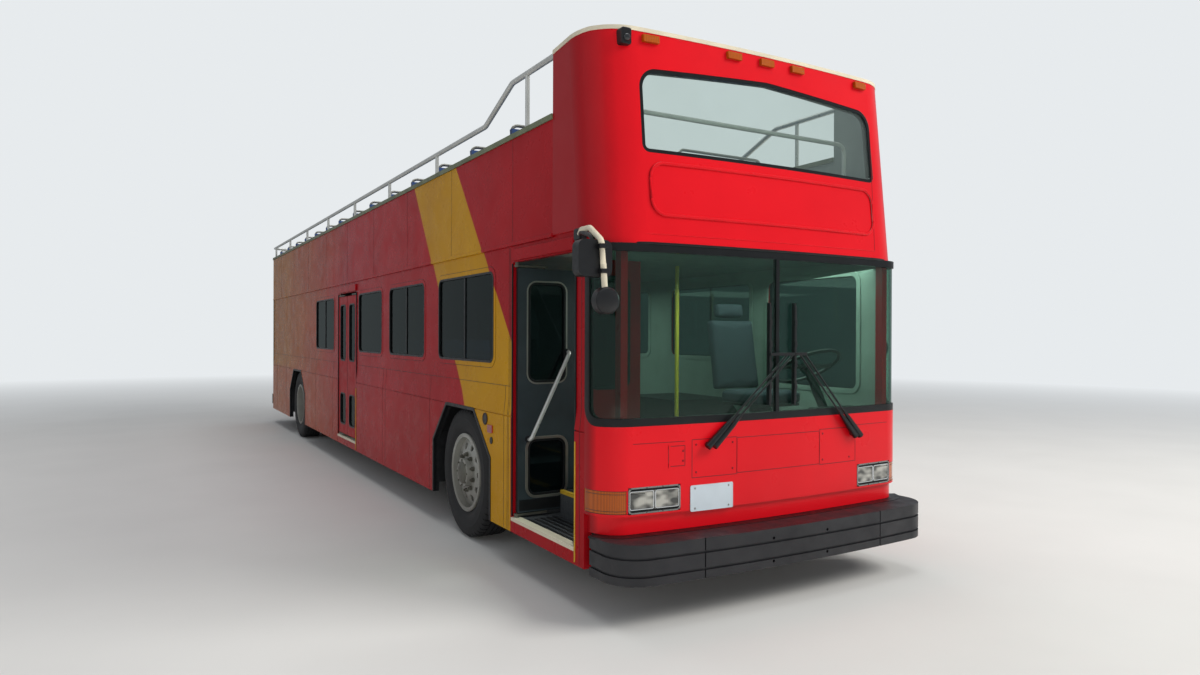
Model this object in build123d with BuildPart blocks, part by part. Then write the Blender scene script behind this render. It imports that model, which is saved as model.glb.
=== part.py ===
from build123d import *
from math import asin, cos, radians, sin
import os

# Open top double deck bus on a 40 ft rear engined chassis, in millimetres.
# The front faces -Y, the doors are on the -X side, +Z is up, and the origin lies on the
# ground under the middle of the length over bumpers.

# Overall
LENGTH = 12192.0            # over both bumpers
HALF_W = 1220.0             # half the body's width
FRONT_REACH = 210.0         # bumper face ahead of the nose panel
REAR_REACH = 112.0          # bumper face behind the rear wall
WALL = 50.0                 # body walls, skin to lining
CLEAR = 0.3                 # gap between pieces that seat in one another
NOSE = -LENGTH / 2 + FRONT_REACH
TAIL = LENGTH / 2 - REAR_REACH

# Plan of the bowed front
BOW = 60.0                  # how far the nose falls back at the body side
NOSE_R = 200.0              # vertical corners of the nose
MASK_R = 300.0              # vertical corners of the upper front
TAIL_R = 120.0              # vertical corners of the rear
POST = 260.0                # nose to the door post, where the side walls start
MASK_DEPTH = 670.0          # nose to the rear edge of the upper front's returns
LEAN = 126.0                # how far the upper front leans back

# Heights
Z_SKIRT = 254.0
Z_CHIN = 471.0
Z_CREASE = 575.0
Z_BELT = 1030.0
Z_SHOULDER = 1160.0
Z_GLASS = 1077.0            # lower edge of the windscreen rubber
Z_MASK = 2105.0             # lower edge of the upper front
Z_SEAM = 2200.0             # lower deck walls end, upper deck walls start
Z_PARAPET = 2910.0
Z_MASK_TOP = 3340.0
MASK_FALL = 35.0            # from the upper front's top to its rear edge
CAP_H = 35.0
TRIM_H = 25.0
CHIN_SET = 22.0             # chin and shoulder set in from the skin
SHOULDER_SET = 12.0
BELT_GROOVE = 8.0

# Floors and steps
Z_FLOOR = 700.0
Z_PLATFORM = 900.0
Z_ENGINE_DECK = 1300.0
Z_UPPER_FLOOR = 2200.0
FLOOR_T = 60.0
PLATFORM_AHEAD = 1027.0     # rear platform's edge ahead of the rear axle
ENGINE_AHEAD = 1534.0       # engine deck's edge ahead of the rear wall
STEP_W = 530.0              # width of the step wells
STEP_Z = (350.0, 525.0)
STEP_DEPTH = 250.0
STEP_T = 15.0
POCKET = 125.0              # room for an open door leaf at each end of the steps

# Doorways: name, front edge and rear edge back from the nose, open at rest
DOORWAYS = (("front", 380.0, 1284.0, True), ("rear", 5640.0, 6560.0, False))
Z_DOOR_TOP = 2080.0
LEAF_T = 36.0
LEAF_LOW = 385.0
LEAF_TOP = 2040.0
LEAF_TAIL = 20.0            # leaf past its shaft line
SHAFT_IN = 32.0             # jamb to shaft line
LEAF_GAP = 10.0             # between two closed leaves
LEAF_PANES = ((500.0, 870.0), (1270.0, 1940.0))
PANE_MARGIN = 80.0
PANE_R = 55.0
PANE_T = 8.0
ARM_T = 14.0
ARM_W = 40.0
ARM_GAP = 6.0
SHAFT_R = 15.0
LEAF_PIN_R = 10.0
LEAF_PIN_L = 30.0
ASSIST_R = 14.0
ASSIST_OFF = 45.0

# Side windows: front and rear edge back from the nose, sill
WINDOW_TOP = 2040.0
WINDOW_SILL = 1390.0
WINDOW_R = 60.0
RIGHT_WINDOWS = ((1620.0, 2800.0), (3190.0, 4290.0), (4580.0, 5540.0), (6820.0, 7940.0))
LEFT_WINDOWS = ((1620.0, 2800.0), (3190.0, 4290.0), (4580.0, 5540.0), (5760.0, 6600.0), (6820.0, 7940.0))
CAB_WINDOW = (430.0, 1400.0)
CAB_SILL = 1190.0

# Windscreens
RUBBER = 45.0               # width of the windscreen rubber
RUBBER_T = 30.0
GLASS_SET = 10.0
GLASS_T = 8.0
DIVIDER = 26.0
CORNER_R = (110.0, 65.0)    # lower rear corners: outside of the rubber, glass
UPPER_GLASS = (300.0, 447.0, 238.0, 53.0) # in from the side, height at the ends and its fall, peak's rise
UPPER_GLASS_R = (100.0, 25.0)             # upper and lower corners
UPPER_RUBBER = 22.0
SIGN = (310.0, 65.0, 320.0) # embossed bead: in from the side, over the seam, height
SIGN_R = 100.0
SIGN_BEAD = (18.0, 8.0)     # width, how far it stands out

# Wheels and axles
FRONT_AXLE = 2276.0         # back from the nose
REAR_AXLE = 2507.0          # ahead of the rear wall
TYRE_R = 505.0
TYRE_W = 280.0
RIM_R = 286.0
TYRE_IN = 35.0              # body side to the outer tyre's wall
TWIN_PITCH = 330.0
KINGPIN_IN = 185.0          # tyre's middle to kingpin
STEER_ARM = 260.0           # tie rod eye behind the kingpin
ARCH_HALF = 620.0
ARCH_TOP_HALF = 300.0
HOUSING_TOP_HALF = 370.0
ARCH_TOP = 1020.0
ARCH_R = 60.0
HOUSING_T = 12.0
HOUSING_LOW = 330.0
FRONT_HOUSING_W = 610.0     # from the wall's lining inward
REAR_HOUSING_W = 670.0
AXLE_WINDOW = 480.0         # half the gap under a housing's inner plate, for the axle

Y_FRONT_AXLE = NOSE + FRONT_AXLE
Y_REAR_AXLE = TAIL - REAR_AXLE
Y_POST = NOSE + POST
Y_SIDE_END = TAIL - TAIL_R
INNER_X = HALF_W - WALL
SKIN_X = HALF_W - SHOULDER_SET             # skin above the shoulder
STEP_IN = INNER_X - STEP_W
WHEEL_X = HALF_W - TYRE_IN - TYRE_W / 2    # middle of the outer tyre
KINGPIN_X = WHEEL_X - KINGPIN_IN
Z_MASK_REAR = Z_MASK_TOP - MASK_FALL
SIDES = (("right", -1.0), ("left", 1.0))

os.makedirs("parts", exist_ok=True)


def save(builder, name):
    """Labels a finished piece and writes it."""
    builder.part.label = name
    export_step(builder.part, f"parts/{name}.step")


def save_pair(builder, name):
    """Writes a piece of the left side and its mirror image on the right."""
    save(builder, f"{name}_left")
    with BuildPart() as twin:
        add(mirror(builder.part, about=Plane.YZ, mode=Mode.PRIVATE))
    save(twin, f"{name}_right")


def nose_outline(z, grow, back, corner=NOSE_R, shift=0.0):
    """Plan of the bowed front from its nose to y = back, grown outward by grow."""
    half = HALF_W + grow
    tip = NOSE - grow + shift
    with BuildSketch(Plane.XY.offset(z)) as outline:
        with BuildLine():
            far = back + 2 * corner
            Polyline((-half, tip + BOW), (-half, far), (half, far), (half, tip + BOW))
            ThreePointArc((-half, tip + BOW), (0, tip), (half, tip + BOW))
        make_face()
        fillet(outline.vertices().sort_by(Axis.Y)[:2], corner + grow)
        with Locations((0, back + 2 * corner)):
            Rectangle(4 * HALF_W, 4 * corner, mode=Mode.SUBTRACT)
    return outline.sketch


def nose_prism(z_low, z_high, grow, back, mode=Mode.ADD):
    """Upright block on the plan of the front."""
    extrude(nose_outline(z_low, grow, back), amount=z_high - z_low, mode=mode)


def inside_prism(z_low, z_high, mode):
    """Everything within the body's lining, from nose to rear wall."""
    with BuildSketch() as plan:
        add(nose_outline(0, -WALL - CLEAR, TAIL - WALL))
        fillet(plan.vertices().sort_by(Axis.Y)[-2:], TAIL_R - WALL)
    extrude(plan.sketch.moved(Location((0, 0, z_low))), amount=z_high - z_low, mode=mode)


def mask_prism(z_low, z_high, grow, mode=Mode.ADD):
    """Block on the plan of the upper front, leaning back as that does."""
    rise = Z_MASK_TOP - Z_MASK
    shift = LEAN * (z_low - Z_MASK) / rise
    face = nose_outline(z_low, grow, NOSE + 2 * MASK_DEPTH, MASK_R, shift)
    slant = Vector(0, LEAN, rise).normalized()
    extrude(face, amount=(z_high - z_low) / slant.Z, dir=slant, mode=mode)


def nose_plane(x, z, out=0.0):
    """Plane on the nose's skin at x, z, its normal pointing forward."""
    radius = (HALF_W ** 2 + BOW ** 2) / (2 * BOW)
    turn = asin(x / radius)
    normal = Vector(sin(turn), -cos(turn), 0)
    skin = Vector(x, NOSE + radius - radius * cos(turn), z)
    return Plane(origin=skin + normal * out, x_dir=(cos(turn), sin(turn), 0), z_dir=normal)


def mask_lean(z):
    """How far the upper front's skin lies behind the nose at height z."""
    return LEAN * (z - Z_MASK) / (Z_MASK_TOP - Z_MASK)


def arch_outline(axle_y, top_half, grow=0.0, low=0.0):
    """Wheel arch in a plane across X: flat top, 45 degree corners, open below."""
    half = ARCH_HALF + grow
    flat = top_half + grow * 0.414
    top = ARCH_TOP + grow
    kink = top - (half - flat)
    points = ((-half, low), (-half, kink), (-flat, top), (flat, top), (half, kink), (half, low))
    return [(axle_y + y, z) for y, z in points]


def door_frame(front, rear):
    """Shaft line of each jamb and the trammel width of one leaf."""
    first = NOSE + front + SHAFT_IN
    last = NOSE + rear - SHAFT_IN
    return first, last, (last - first - LEAF_GAP) / 2


# Lower side walls, one panel thick, with belt groove, shoulder, windows, doorways and arches
def side_wall(name, sign, windows):
    with BuildPart() as wall:
        with BuildSketch(Plane.XZ.offset(-Y_POST)):
            with BuildLine():
                Polyline(
                    (sign * INNER_X, Z_SKIRT), (sign * HALF_W, Z_SKIRT), (sign * HALF_W, Z_BELT),
                    (sign * (HALF_W - BELT_GROOVE), Z_BELT),
                    (sign * (HALF_W - BELT_GROOVE), Z_BELT + BELT_GROOVE),
                    (sign * HALF_W, Z_BELT + BELT_GROOVE), (sign * SKIN_X, Z_SHOULDER),
                    (sign * SKIN_X, Z_SEAM), (sign * INNER_X, Z_SEAM), close=True)
            make_face()
        extrude(amount=Y_POST - Y_SIDE_END)
        for front, rear, sill in windows:
            with BuildSketch(Plane.YZ):
                with Locations((NOSE + (front + rear) / 2, (sill + WINDOW_TOP) / 2)):
                    RectangleRounded(rear - front, WINDOW_TOP - sill, WINDOW_R)
            extrude(amount=sign * 2 * HALF_W, mode=Mode.SUBTRACT)
        for axle_y in (Y_FRONT_AXLE, Y_REAR_AXLE):
            with BuildSketch(Plane.YZ) as arch:
                with BuildLine():
                    Polyline(*arch_outline(axle_y, ARCH_TOP_HALF), close=True)
                make_face()
                fillet(arch.vertices().group_by(Axis.Y)[-1], ARCH_R)
            extrude(amount=sign * 2 * HALF_W, mode=Mode.SUBTRACT)
        if sign < 0:
            for _, front, rear, _ in DOORWAYS:
                with BuildSketch(Plane.YZ):
                    with Locations((NOSE + (front + rear) / 2, (STEP_Z[0] + Z_DOOR_TOP) / 2)):
                        Rectangle(rear - front, Z_DOOR_TOP - STEP_Z[0])
                extrude(amount=-2 * HALF_W, mode=Mode.SUBTRACT)
    save(wall, name)


right_panes = [(front, rear, WINDOW_SILL) for front, rear in RIGHT_WINDOWS]
left_panes = [(front, rear, WINDOW_SILL) for front, rear in LEFT_WINDOWS] + [(*CAB_WINDOW, CAB_SILL)]
side_wall("side_wall_right", -1.0, right_panes)
side_wall("side_wall_left", 1.0, left_panes)

with BuildPart() as side_glass:
    for sign, panes in ((-1.0, right_panes), (1.0, left_panes)):
        for front, rear, sill in panes:
            with BuildSketch(Plane.YZ.offset(sign * (SKIN_X - GLASS_SET))):
                with Locations((NOSE + (front + rear) / 2, (sill + WINDOW_TOP) / 2)):
                    RectangleRounded(
                        rear - front - 2 * CLEAR, WINDOW_TOP - sill - 2 * CLEAR, WINDOW_R - CLEAR)
            extrude(amount=-sign * GLASS_T)
save(side_glass, "side_glass")

# Nose: chin set in, flat band, lamp recesses, and the corner pillars behind the glass
LAMP_X = HALF_W - 331.0
LAMP_SIZE = (340.0, 150.0)
Z_LAMP = 662.0
TURN_X = HALF_W - 152.0
TURN_LOW = 590.0
TURN_HIGH = 720.0
PILLAR = (45.0, 58.0)
PILLAR_X = HALF_W - 160.0
PILLAR_AT = 92.0



def corner_sliver(y, z, radius, mode):
    """What lies outside a rounded lower rear corner of the windscreen, right across the bus."""
    with BuildSketch(Plane.YZ.offset(-2 * HALF_W)) as sliver:
        with BuildLine():
            Line((y - radius, z), (y - radius, z - WALL))
            Polyline((y - radius, z - WALL), (y + WALL, z - WALL), (y + WALL, z + radius), (y, z + radius))
            RadiusArc((y, z + radius), (y - radius, z), radius)
        make_face()
    extrude(sliver.sketch, amount=4 * HALF_W, mode=mode)


with BuildPart() as post_foot:
    nose_prism(Z_GLASS, Z_GLASS + CORNER_R[0], 0, Y_POST)
    nose_prism(Z_GLASS, Z_GLASS + CORNER_R[0], -RUBBER_T, Y_POST + WALL, Mode.SUBTRACT)
    corner_sliver(Y_POST, Z_GLASS, CORNER_R[0], Mode.INTERSECT)

with BuildPart() as front_panel:
    nose_prism(Z_CHIN, Z_CREASE, -CHIN_SET, Y_POST)
    nose_prism(Z_CREASE, Z_GLASS, 0, Y_POST)
    nose_prism(Z_CHIN, Z_GLASS, -WALL, Y_POST + WALL, Mode.SUBTRACT)
    for sign in (-1, 1):
        with BuildSketch(nose_plane(sign * LAMP_X, Z_LAMP, WALL)):
            Rectangle(*LAMP_SIZE)
        extrude(amount=-3 * WALL, mode=Mode.SUBTRACT)
        with BuildSketch(Plane.XY.offset(TURN_LOW)):
            with Locations((sign * (TURN_X + HALF_W), (NOSE + Y_POST) / 2)):
                Rectangle(2 * HALF_W, 2 * POST)
        extrude(amount=TURN_HIGH - TURN_LOW, mode=Mode.SUBTRACT)
        with BuildSketch(Plane.XY.offset(Z_GLASS - WALL)):
            with Locations((sign * PILLAR_X, NOSE + PILLAR_AT + PILLAR[1] / 2)):
                Rectangle(*PILLAR)
        extrude(amount=Z_MASK - Z_GLASS + WALL)
    add(post_foot.part)
save(front_panel, "front_panel")

# Windscreens: rubber all round and up the middle, two curved panes, and the upper pane
def glass_side(gap, mode):
    """Side view of the windscreens, set in by gap, rounded at the lower rear, right across the bus."""
    front = NOSE - WALL
    rear = Y_POST - RUBBER - gap
    low = Z_GLASS + RUBBER + gap
    high = Z_MASK - RUBBER - gap
    with BuildSketch(Plane.YZ.offset(-2 * HALF_W)) as side:
        with Locations(((front + rear) / 2, (low + high) / 2)):
            Rectangle(rear - front, high - low)
        fillet(side.vertices().group_by(Axis.X)[-1].sort_by(Axis.Y)[0], CORNER_R[1])
    extrude(side.sketch, amount=4 * HALF_W, mode=mode)


with BuildPart() as windscreen_rubbers:
    nose_prism(Z_GLASS, Z_MASK, 0, Y_POST)
    nose_prism(Z_GLASS, Z_MASK, -RUBBER_T, Y_POST + WALL, Mode.SUBTRACT)
    corner_sliver(Y_POST, Z_GLASS, CORNER_R[0], Mode.SUBTRACT)
    glass_side(0, Mode.SUBTRACT)
    with BuildSketch(Plane.XY.offset(Z_GLASS + RUBBER)):
        with Locations((0, NOSE + RUBBER_T / 2 + 1)):
            Rectangle(DIVIDER, RUBBER_T - 2)
    extrude(amount=Z_MASK - Z_GLASS - 2 * RUBBER)

with BuildPart() as windscreen:
    nose_prism(Z_GLASS, Z_MASK, -GLASS_SET, Y_POST)
    nose_prism(Z_GLASS - WALL, Z_MASK + WALL, -GLASS_SET - GLASS_T, Y_POST + WALL, Mode.SUBTRACT)
    glass_side(CLEAR, Mode.INTERSECT)
    with BuildSketch(Plane.XY.offset(Z_GLASS)):
        with Locations((0, NOSE)):
            Rectangle(DIVIDER + 2 * CLEAR, 4 * RUBBER)
    extrude(amount=Z_MASK - Z_GLASS, mode=Mode.SUBTRACT)


def mask_window(grow, mode):
    """Opening through the upper front with a peaked top, grown past the upper pane by grow."""
    inset, height, fall, rise = UPPER_GLASS
    half = HALF_W - inset + grow
    high = Z_MASK_TOP - fall
    with BuildSketch(Plane.XZ.offset(-NOSE + WALL)) as opening:
        with BuildLine():
            Polyline(
                (-half, high - height - grow), (half, high - height - grow), (half, high + grow),
                (0, high + rise + grow), (-half, high + grow), close=True)
        make_face()
        fillet(opening.vertices().sort_by(Axis.Y)[2:4], UPPER_GLASS_R[0] + grow)
        fillet(opening.vertices().sort_by(Axis.Y)[:2], UPPER_GLASS_R[1] + grow)
    extrude(opening.sketch, amount=-MASK_DEPTH / 2, mode=mode)


with BuildPart() as sign_panel:
    mask_prism(Z_MASK, Z_MASK_TOP, SIGN_BEAD[1])
    sign_w = 2 * (HALF_W - SIGN[0])
    with BuildSketch(Plane.XZ.offset(-NOSE + WALL)):
        with Locations((0, Z_SEAM + SIGN[1] + SIGN[2] / 2)):
            RectangleRounded(sign_w, SIGN[2], SIGN_R)
            RectangleRounded(
                sign_w - 2 * SIGN_BEAD[0], SIGN[2] - 2 * SIGN_BEAD[0], SIGN_R - SIGN_BEAD[0],
                mode=Mode.SUBTRACT)
    extrude(amount=-MASK_DEPTH / 2, mode=Mode.INTERSECT)

with BuildPart() as front_mask:
    mask_prism(Z_MASK, Z_MASK_TOP, 0)
    add(sign_panel.part)
    mask_prism(Z_MASK - WALL, Z_MASK_TOP + WALL, -WALL, Mode.SUBTRACT)
    mask_window(UPPER_RUBBER, Mode.SUBTRACT)
    with BuildSketch(Plane.YZ.offset(-HALF_W - WALL)):
        with BuildLine():
            rear = NOSE + MASK_DEPTH
            brow = NOSE + MASK_R
            Polyline(
                (Y_POST, Z_MASK - WALL), (Y_POST, Z_SEAM), (rear, Z_SEAM), (rear, Z_MASK_REAR),
                (brow, Z_MASK_TOP), (brow, Z_MASK_TOP + WALL), (rear + 3 * MASK_DEPTH, Z_MASK_TOP + WALL),
                (rear + 3 * MASK_DEPTH, Z_MASK - WALL), close=True)
        make_face()
    extrude(amount=2 * (HALF_W + WALL), mode=Mode.SUBTRACT)
save(front_mask, "front_mask")

with BuildPart() as upper_rubber:
    mask_prism(Z_SEAM, Z_MASK_TOP, -2)
    mask_prism(Z_SEAM, Z_MASK_TOP, -WALL + 5, Mode.SUBTRACT)
    mask_window(UPPER_RUBBER - CLEAR, Mode.INTERSECT)
    mask_window(0, Mode.SUBTRACT)
    add(windscreen_rubbers.part)
save(upper_rubber, "windscreen_rubbers")

with BuildPart() as upper_windscreen:
    mask_prism(Z_SEAM, Z_MASK_TOP, -GLASS_SET)
    mask_prism(Z_SEAM, Z_MASK_TOP, -GLASS_SET - GLASS_T, Mode.SUBTRACT)
    mask_window(-CLEAR, Mode.INTERSECT)
    add(windscreen.part)
save(upper_windscreen, "windscreens")

# Upper deck walls, their caps, and the trim along the upper front's edge
with BuildPart() as upper_side:
    with BuildSketch(Plane.XY.offset(Z_SEAM)):
        with Locations((HALF_W - WALL / 2, (NOSE + MASK_DEPTH + Y_SIDE_END) / 2)):
            Rectangle(WALL, Y_SIDE_END - NOSE - MASK_DEPTH)
    extrude(amount=Z_PARAPET - Z_SEAM)
    mirror(about=Plane.YZ)
save(upper_side, "upper_sides")


def tail_outline(z, grow):
    """Plan of the rounded rear end, from the side walls' rear edge."""
    half = HALF_W + grow
    with BuildSketch(Plane.XY.offset(z)) as outline:
        with Locations((0, (Y_SIDE_END + TAIL + grow) / 2)):
            Rectangle(2 * half, TAIL + grow - Y_SIDE_END)
        fillet(outline.vertices().sort_by(Axis.Y)[-2:], TAIL_R + min(grow, 0) - 1)
    return outline.sketch


def tail_wall(z_low, z_high):
    """Rear end wall round both corners."""
    extrude(tail_outline(z_low, 0), amount=z_high - z_low)
    with BuildSketch(Plane.XY.offset(z_low)) as inside:
        with Locations((0, (Y_SIDE_END - WALL + TAIL - WALL) / 2)):
            Rectangle(2 * INNER_X, TAIL - Y_SIDE_END)
        fillet(inside.vertices().sort_by(Axis.Y)[-2:], TAIL_R - WALL - 1)
    extrude(inside.sketch, amount=z_high - z_low, mode=Mode.SUBTRACT)


ENGINE_DOOR = (1560.0, 520.0, 1230.0)     # width, lower edge, upper edge
DOOR_T = 40.0
DOOR_RUN = 6.0                            # gap round the engine door
HINGES = (-560.0, 560.0)
HINGE_R = 8.0
HINGE_PIN_R = 4.0
HINGE_W = 60.0                            # door's knuckle
HINGE_EAR = 26.0                          # each of the body's two knuckles beside it
STRAP_T = 6.0
STRAP_L = 70.0
Y_HINGE = TAIL + HINGE_R + 1
Z_HINGE = ENGINE_DOOR[2] + DOOR_RUN / 2
TAIL_LAMP = (130.0, 420.0)
TAIL_LAMP_X = HALF_W - 210.0
Z_TAIL_LAMP = 1000.0

with BuildPart() as rear_wall:
    tail_wall(Z_SKIRT, Z_SEAM)
    with BuildSketch(Plane.XZ.offset(-Y_SIDE_END)):
        with Locations((0, (ENGINE_DOOR[1] + ENGINE_DOOR[2]) / 2)):
            Rectangle(ENGINE_DOOR[0] + 2 * DOOR_RUN, ENGINE_DOOR[2] - ENGINE_DOOR[1] + 2 * DOOR_RUN)
        with Locations((-TAIL_LAMP_X, Z_TAIL_LAMP), (TAIL_LAMP_X, Z_TAIL_LAMP)):
            Rectangle(*TAIL_LAMP)
    extrude(amount=-2 * TAIL_R, mode=Mode.SUBTRACT)
    for x in HINGES:
        for ear in (x - (HINGE_W + HINGE_EAR) / 2 - 1, x + (HINGE_W + HINGE_EAR) / 2 + 1):
            with BuildSketch(Plane.YZ.offset(ear - HINGE_EAR / 2)):
                with Locations((TAIL + STRAP_T / 2, Z_HINGE + STRAP_L / 2)):
                    Rectangle(STRAP_T, STRAP_L)
                with Locations((Y_HINGE, Z_HINGE)):
                    Circle(HINGE_R)
            extrude(amount=HINGE_EAR)
        with BuildSketch(Plane.YZ.offset(x - HINGE_W / 2 - HINGE_EAR)):
            with Locations((Y_HINGE, Z_HINGE)):
                Circle(HINGE_PIN_R)
        extrude(amount=HINGE_W + 2 * HINGE_EAR)
save(rear_wall, "rear_wall")

with BuildPart() as upper_rear_wall:
    tail_wall(Z_SEAM, Z_PARAPET)
save(upper_rear_wall, "upper_rear_wall")

CAP_OUT = 10.0
with BuildPart() as parapet_cap:
    cap_start = NOSE + MASK_DEPTH
    with BuildSketch(Plane.XY.offset(Z_PARAPET)) as cap_plan:
        with Locations((0, (cap_start + TAIL + CAP_OUT) / 2)):
            Rectangle(2 * (HALF_W + CAP_OUT), TAIL + CAP_OUT - cap_start)
        fillet(cap_plan.vertices().sort_by(Axis.Y)[-2:], TAIL_R)
        with Locations((0, (cap_start + TAIL - WALL - CAP_OUT) / 2)):
            Rectangle(2 * (INNER_X - CAP_OUT), TAIL - WALL - CAP_OUT - cap_start, mode=Mode.SUBTRACT)
    extrude(amount=CAP_H)
save(parapet_cap, "parapet_cap")

with BuildPart() as mask_trim:
    mask_prism(Z_SEAM, Z_MASK_TOP + 2 * WALL, 4)
    mask_prism(Z_SEAM - WALL, Z_MASK_TOP + 3 * WALL, -WALL - 4, Mode.SUBTRACT)
    with BuildSketch(Plane.YZ.offset(-HALF_W - WALL)):
        with BuildLine():
            rear = NOSE + MASK_DEPTH
            brow = NOSE + MASK_R
            Polyline(
                (NOSE - WALL, Z_MASK_TOP), (brow, Z_MASK_TOP), (rear, Z_MASK_REAR),
                (rear, Z_MASK_REAR + TRIM_H), (brow, Z_MASK_TOP + TRIM_H),
                (NOSE - WALL, Z_MASK_TOP + TRIM_H), close=True)
        make_face()
    extrude(amount=2 * (HALF_W + WALL), mode=Mode.INTERSECT)
save(mask_trim, "mask_trim")

# Floors: one stepped deck below with the wheel housings standing through it, one flat above
HOUSINGS = [
    (sign, axle_y, INNER_X - width)
    for sign in (-1, 1)
    for axle_y, width in ((Y_FRONT_AXLE, FRONT_HOUSING_W), (Y_REAR_AXLE, REAR_HOUSING_W))
]


def housing_prism(sign, axle_y, inner_x, grow, low, mode):
    """Wheel housing block from its inner plate out to the side wall."""
    start = inner_x + HOUSING_T - grow
    with BuildSketch(Plane.YZ.offset(sign * start)) as section:
        with BuildLine():
            Polyline(*arch_outline(axle_y, HOUSING_TOP_HALF, grow, low), close=True)
        make_face()
    extrude(section.sketch, amount=sign * (INNER_X - start), mode=mode)


with BuildPart() as wheel_housings:
    for housing in HOUSINGS:
        housing_prism(*housing, HOUSING_T, HOUSING_LOW, Mode.ADD)
        housing_prism(*housing, 0, 0, Mode.SUBTRACT)
    for y in (Y_FRONT_AXLE, Y_REAR_AXLE):
        with BuildSketch(Plane.XY):
            with Locations((0, y)):
                Rectangle(2 * INNER_X, 2 * AXLE_WINDOW)
        extrude(amount=Z_FLOOR - FLOOR_T - HOUSING_T, mode=Mode.SUBTRACT)
save(wheel_housings, "wheel_housings")

Y_PLATFORM = Y_REAR_AXLE - PLATFORM_AHEAD
Y_ENGINE = TAIL - ENGINE_AHEAD
with BuildPart() as lower_floor:
    with BuildSketch(Plane.YZ.offset(-INNER_X)):
        with BuildLine():
            under = Z_FLOOR - FLOOR_T
            Polyline(
                (NOSE, under), (Y_PLATFORM, under), (Y_PLATFORM, Z_PLATFORM - FLOOR_T),
                (Y_ENGINE, Z_PLATFORM - FLOOR_T), (Y_ENGINE, Z_ENGINE_DECK - FLOOR_T),
                (TAIL - WALL, Z_ENGINE_DECK - FLOOR_T), (TAIL - WALL, Z_ENGINE_DECK),
                (Y_ENGINE - FLOOR_T, Z_ENGINE_DECK), (Y_ENGINE - FLOOR_T, Z_PLATFORM),
                (Y_PLATFORM - FLOOR_T, Z_PLATFORM), (Y_PLATFORM - FLOOR_T, Z_FLOOR),
                (NOSE, Z_FLOOR), close=True)
        make_face()
    extrude(amount=2 * INNER_X)
    inside_prism(Z_SKIRT, Z_ENGINE_DECK, Mode.INTERSECT)
    for housing in HOUSINGS:
        housing_prism(*housing, HOUSING_T, 0, Mode.SUBTRACT)
    for _, front, rear, _ in DOORWAYS:
        with BuildSketch(Plane.XY.offset(under)):
            with Locations((-(INNER_X + STEP_IN) / 2, NOSE + (front + rear) / 2)):
                Rectangle(INNER_X - STEP_IN, rear - front + 2 * STEP_T)
        extrude(amount=FLOOR_T, mode=Mode.SUBTRACT)
save(lower_floor, "lower_floor")

with BuildPart() as door_steps:
    for _, front, rear, _ in DOORWAYS:
        first, last = NOSE + front, NOSE + rear
        middle = (first + last) / 2
        well = STEP_Z[0] - 2 * STEP_T
        with BuildSketch(Plane.XY.offset(well)):
            with Locations((-(INNER_X + STEP_IN) / 2, middle)):
                Rectangle(INNER_X - STEP_IN, last - first + 2 * STEP_T)
        extrude(amount=Z_FLOOR - well)
        with BuildSketch(Plane.XY.offset(STEP_Z[0])):
            with Locations((-(INNER_X + STEP_IN + STEP_T) / 2, middle)):
                Rectangle(INNER_X - STEP_IN - STEP_T, last - first)
        extrude(amount=Z_FLOOR, mode=Mode.SUBTRACT)
        with BuildSketch(Plane.XY.offset(STEP_Z[0])):
            with Locations((-STEP_IN - STEP_T - STEP_DEPTH / 2, middle)):
                Rectangle(STEP_DEPTH, last - first - 2 * POCKET)
        extrude(amount=STEP_Z[1] - STEP_Z[0])
save(door_steps, "door_steps")

STAIR_X = (INNER_X - 610.0, INNER_X)
STAIR_AT = 3386.0           # foot of the stairs, back from the nose
STAIR_GOING = 215.0
STAIR_COUNT = 7             # risers
STAIR_T = 25.0
STAIR_LANDING = 1400.0      # free deck behind the stairs
Y_STAIR = NOSE + STAIR_AT
STAIR_RISE = (Z_UPPER_FLOOR - Z_FLOOR) / STAIR_COUNT
Y_STAIR_TOP = Y_STAIR + (STAIR_COUNT - 1) * STAIR_GOING

with BuildPart() as upper_floor:
    inside_prism(Z_UPPER_FLOOR - FLOOR_T, Z_UPPER_FLOOR, Mode.ADD)
    with BuildSketch(Plane.XY.offset(Z_UPPER_FLOOR - FLOOR_T)):
        with Locations(((STAIR_X[0] + STAIR_X[1]) / 2, (Y_STAIR + Y_STAIR_TOP) / 2)):
            Rectangle(STAIR_X[1] - STAIR_X[0], Y_STAIR_TOP - Y_STAIR)
    extrude(amount=FLOOR_T, mode=Mode.SUBTRACT)
    nose_mask = nose_outline(Z_UPPER_FLOOR - FLOOR_T, -WALL - CLEAR, TAIL, MASK_R, mask_lean(Z_SEAM))
    extrude(nose_mask, amount=FLOOR_T, mode=Mode.INTERSECT)
save(upper_floor, "upper_floor")

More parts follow.
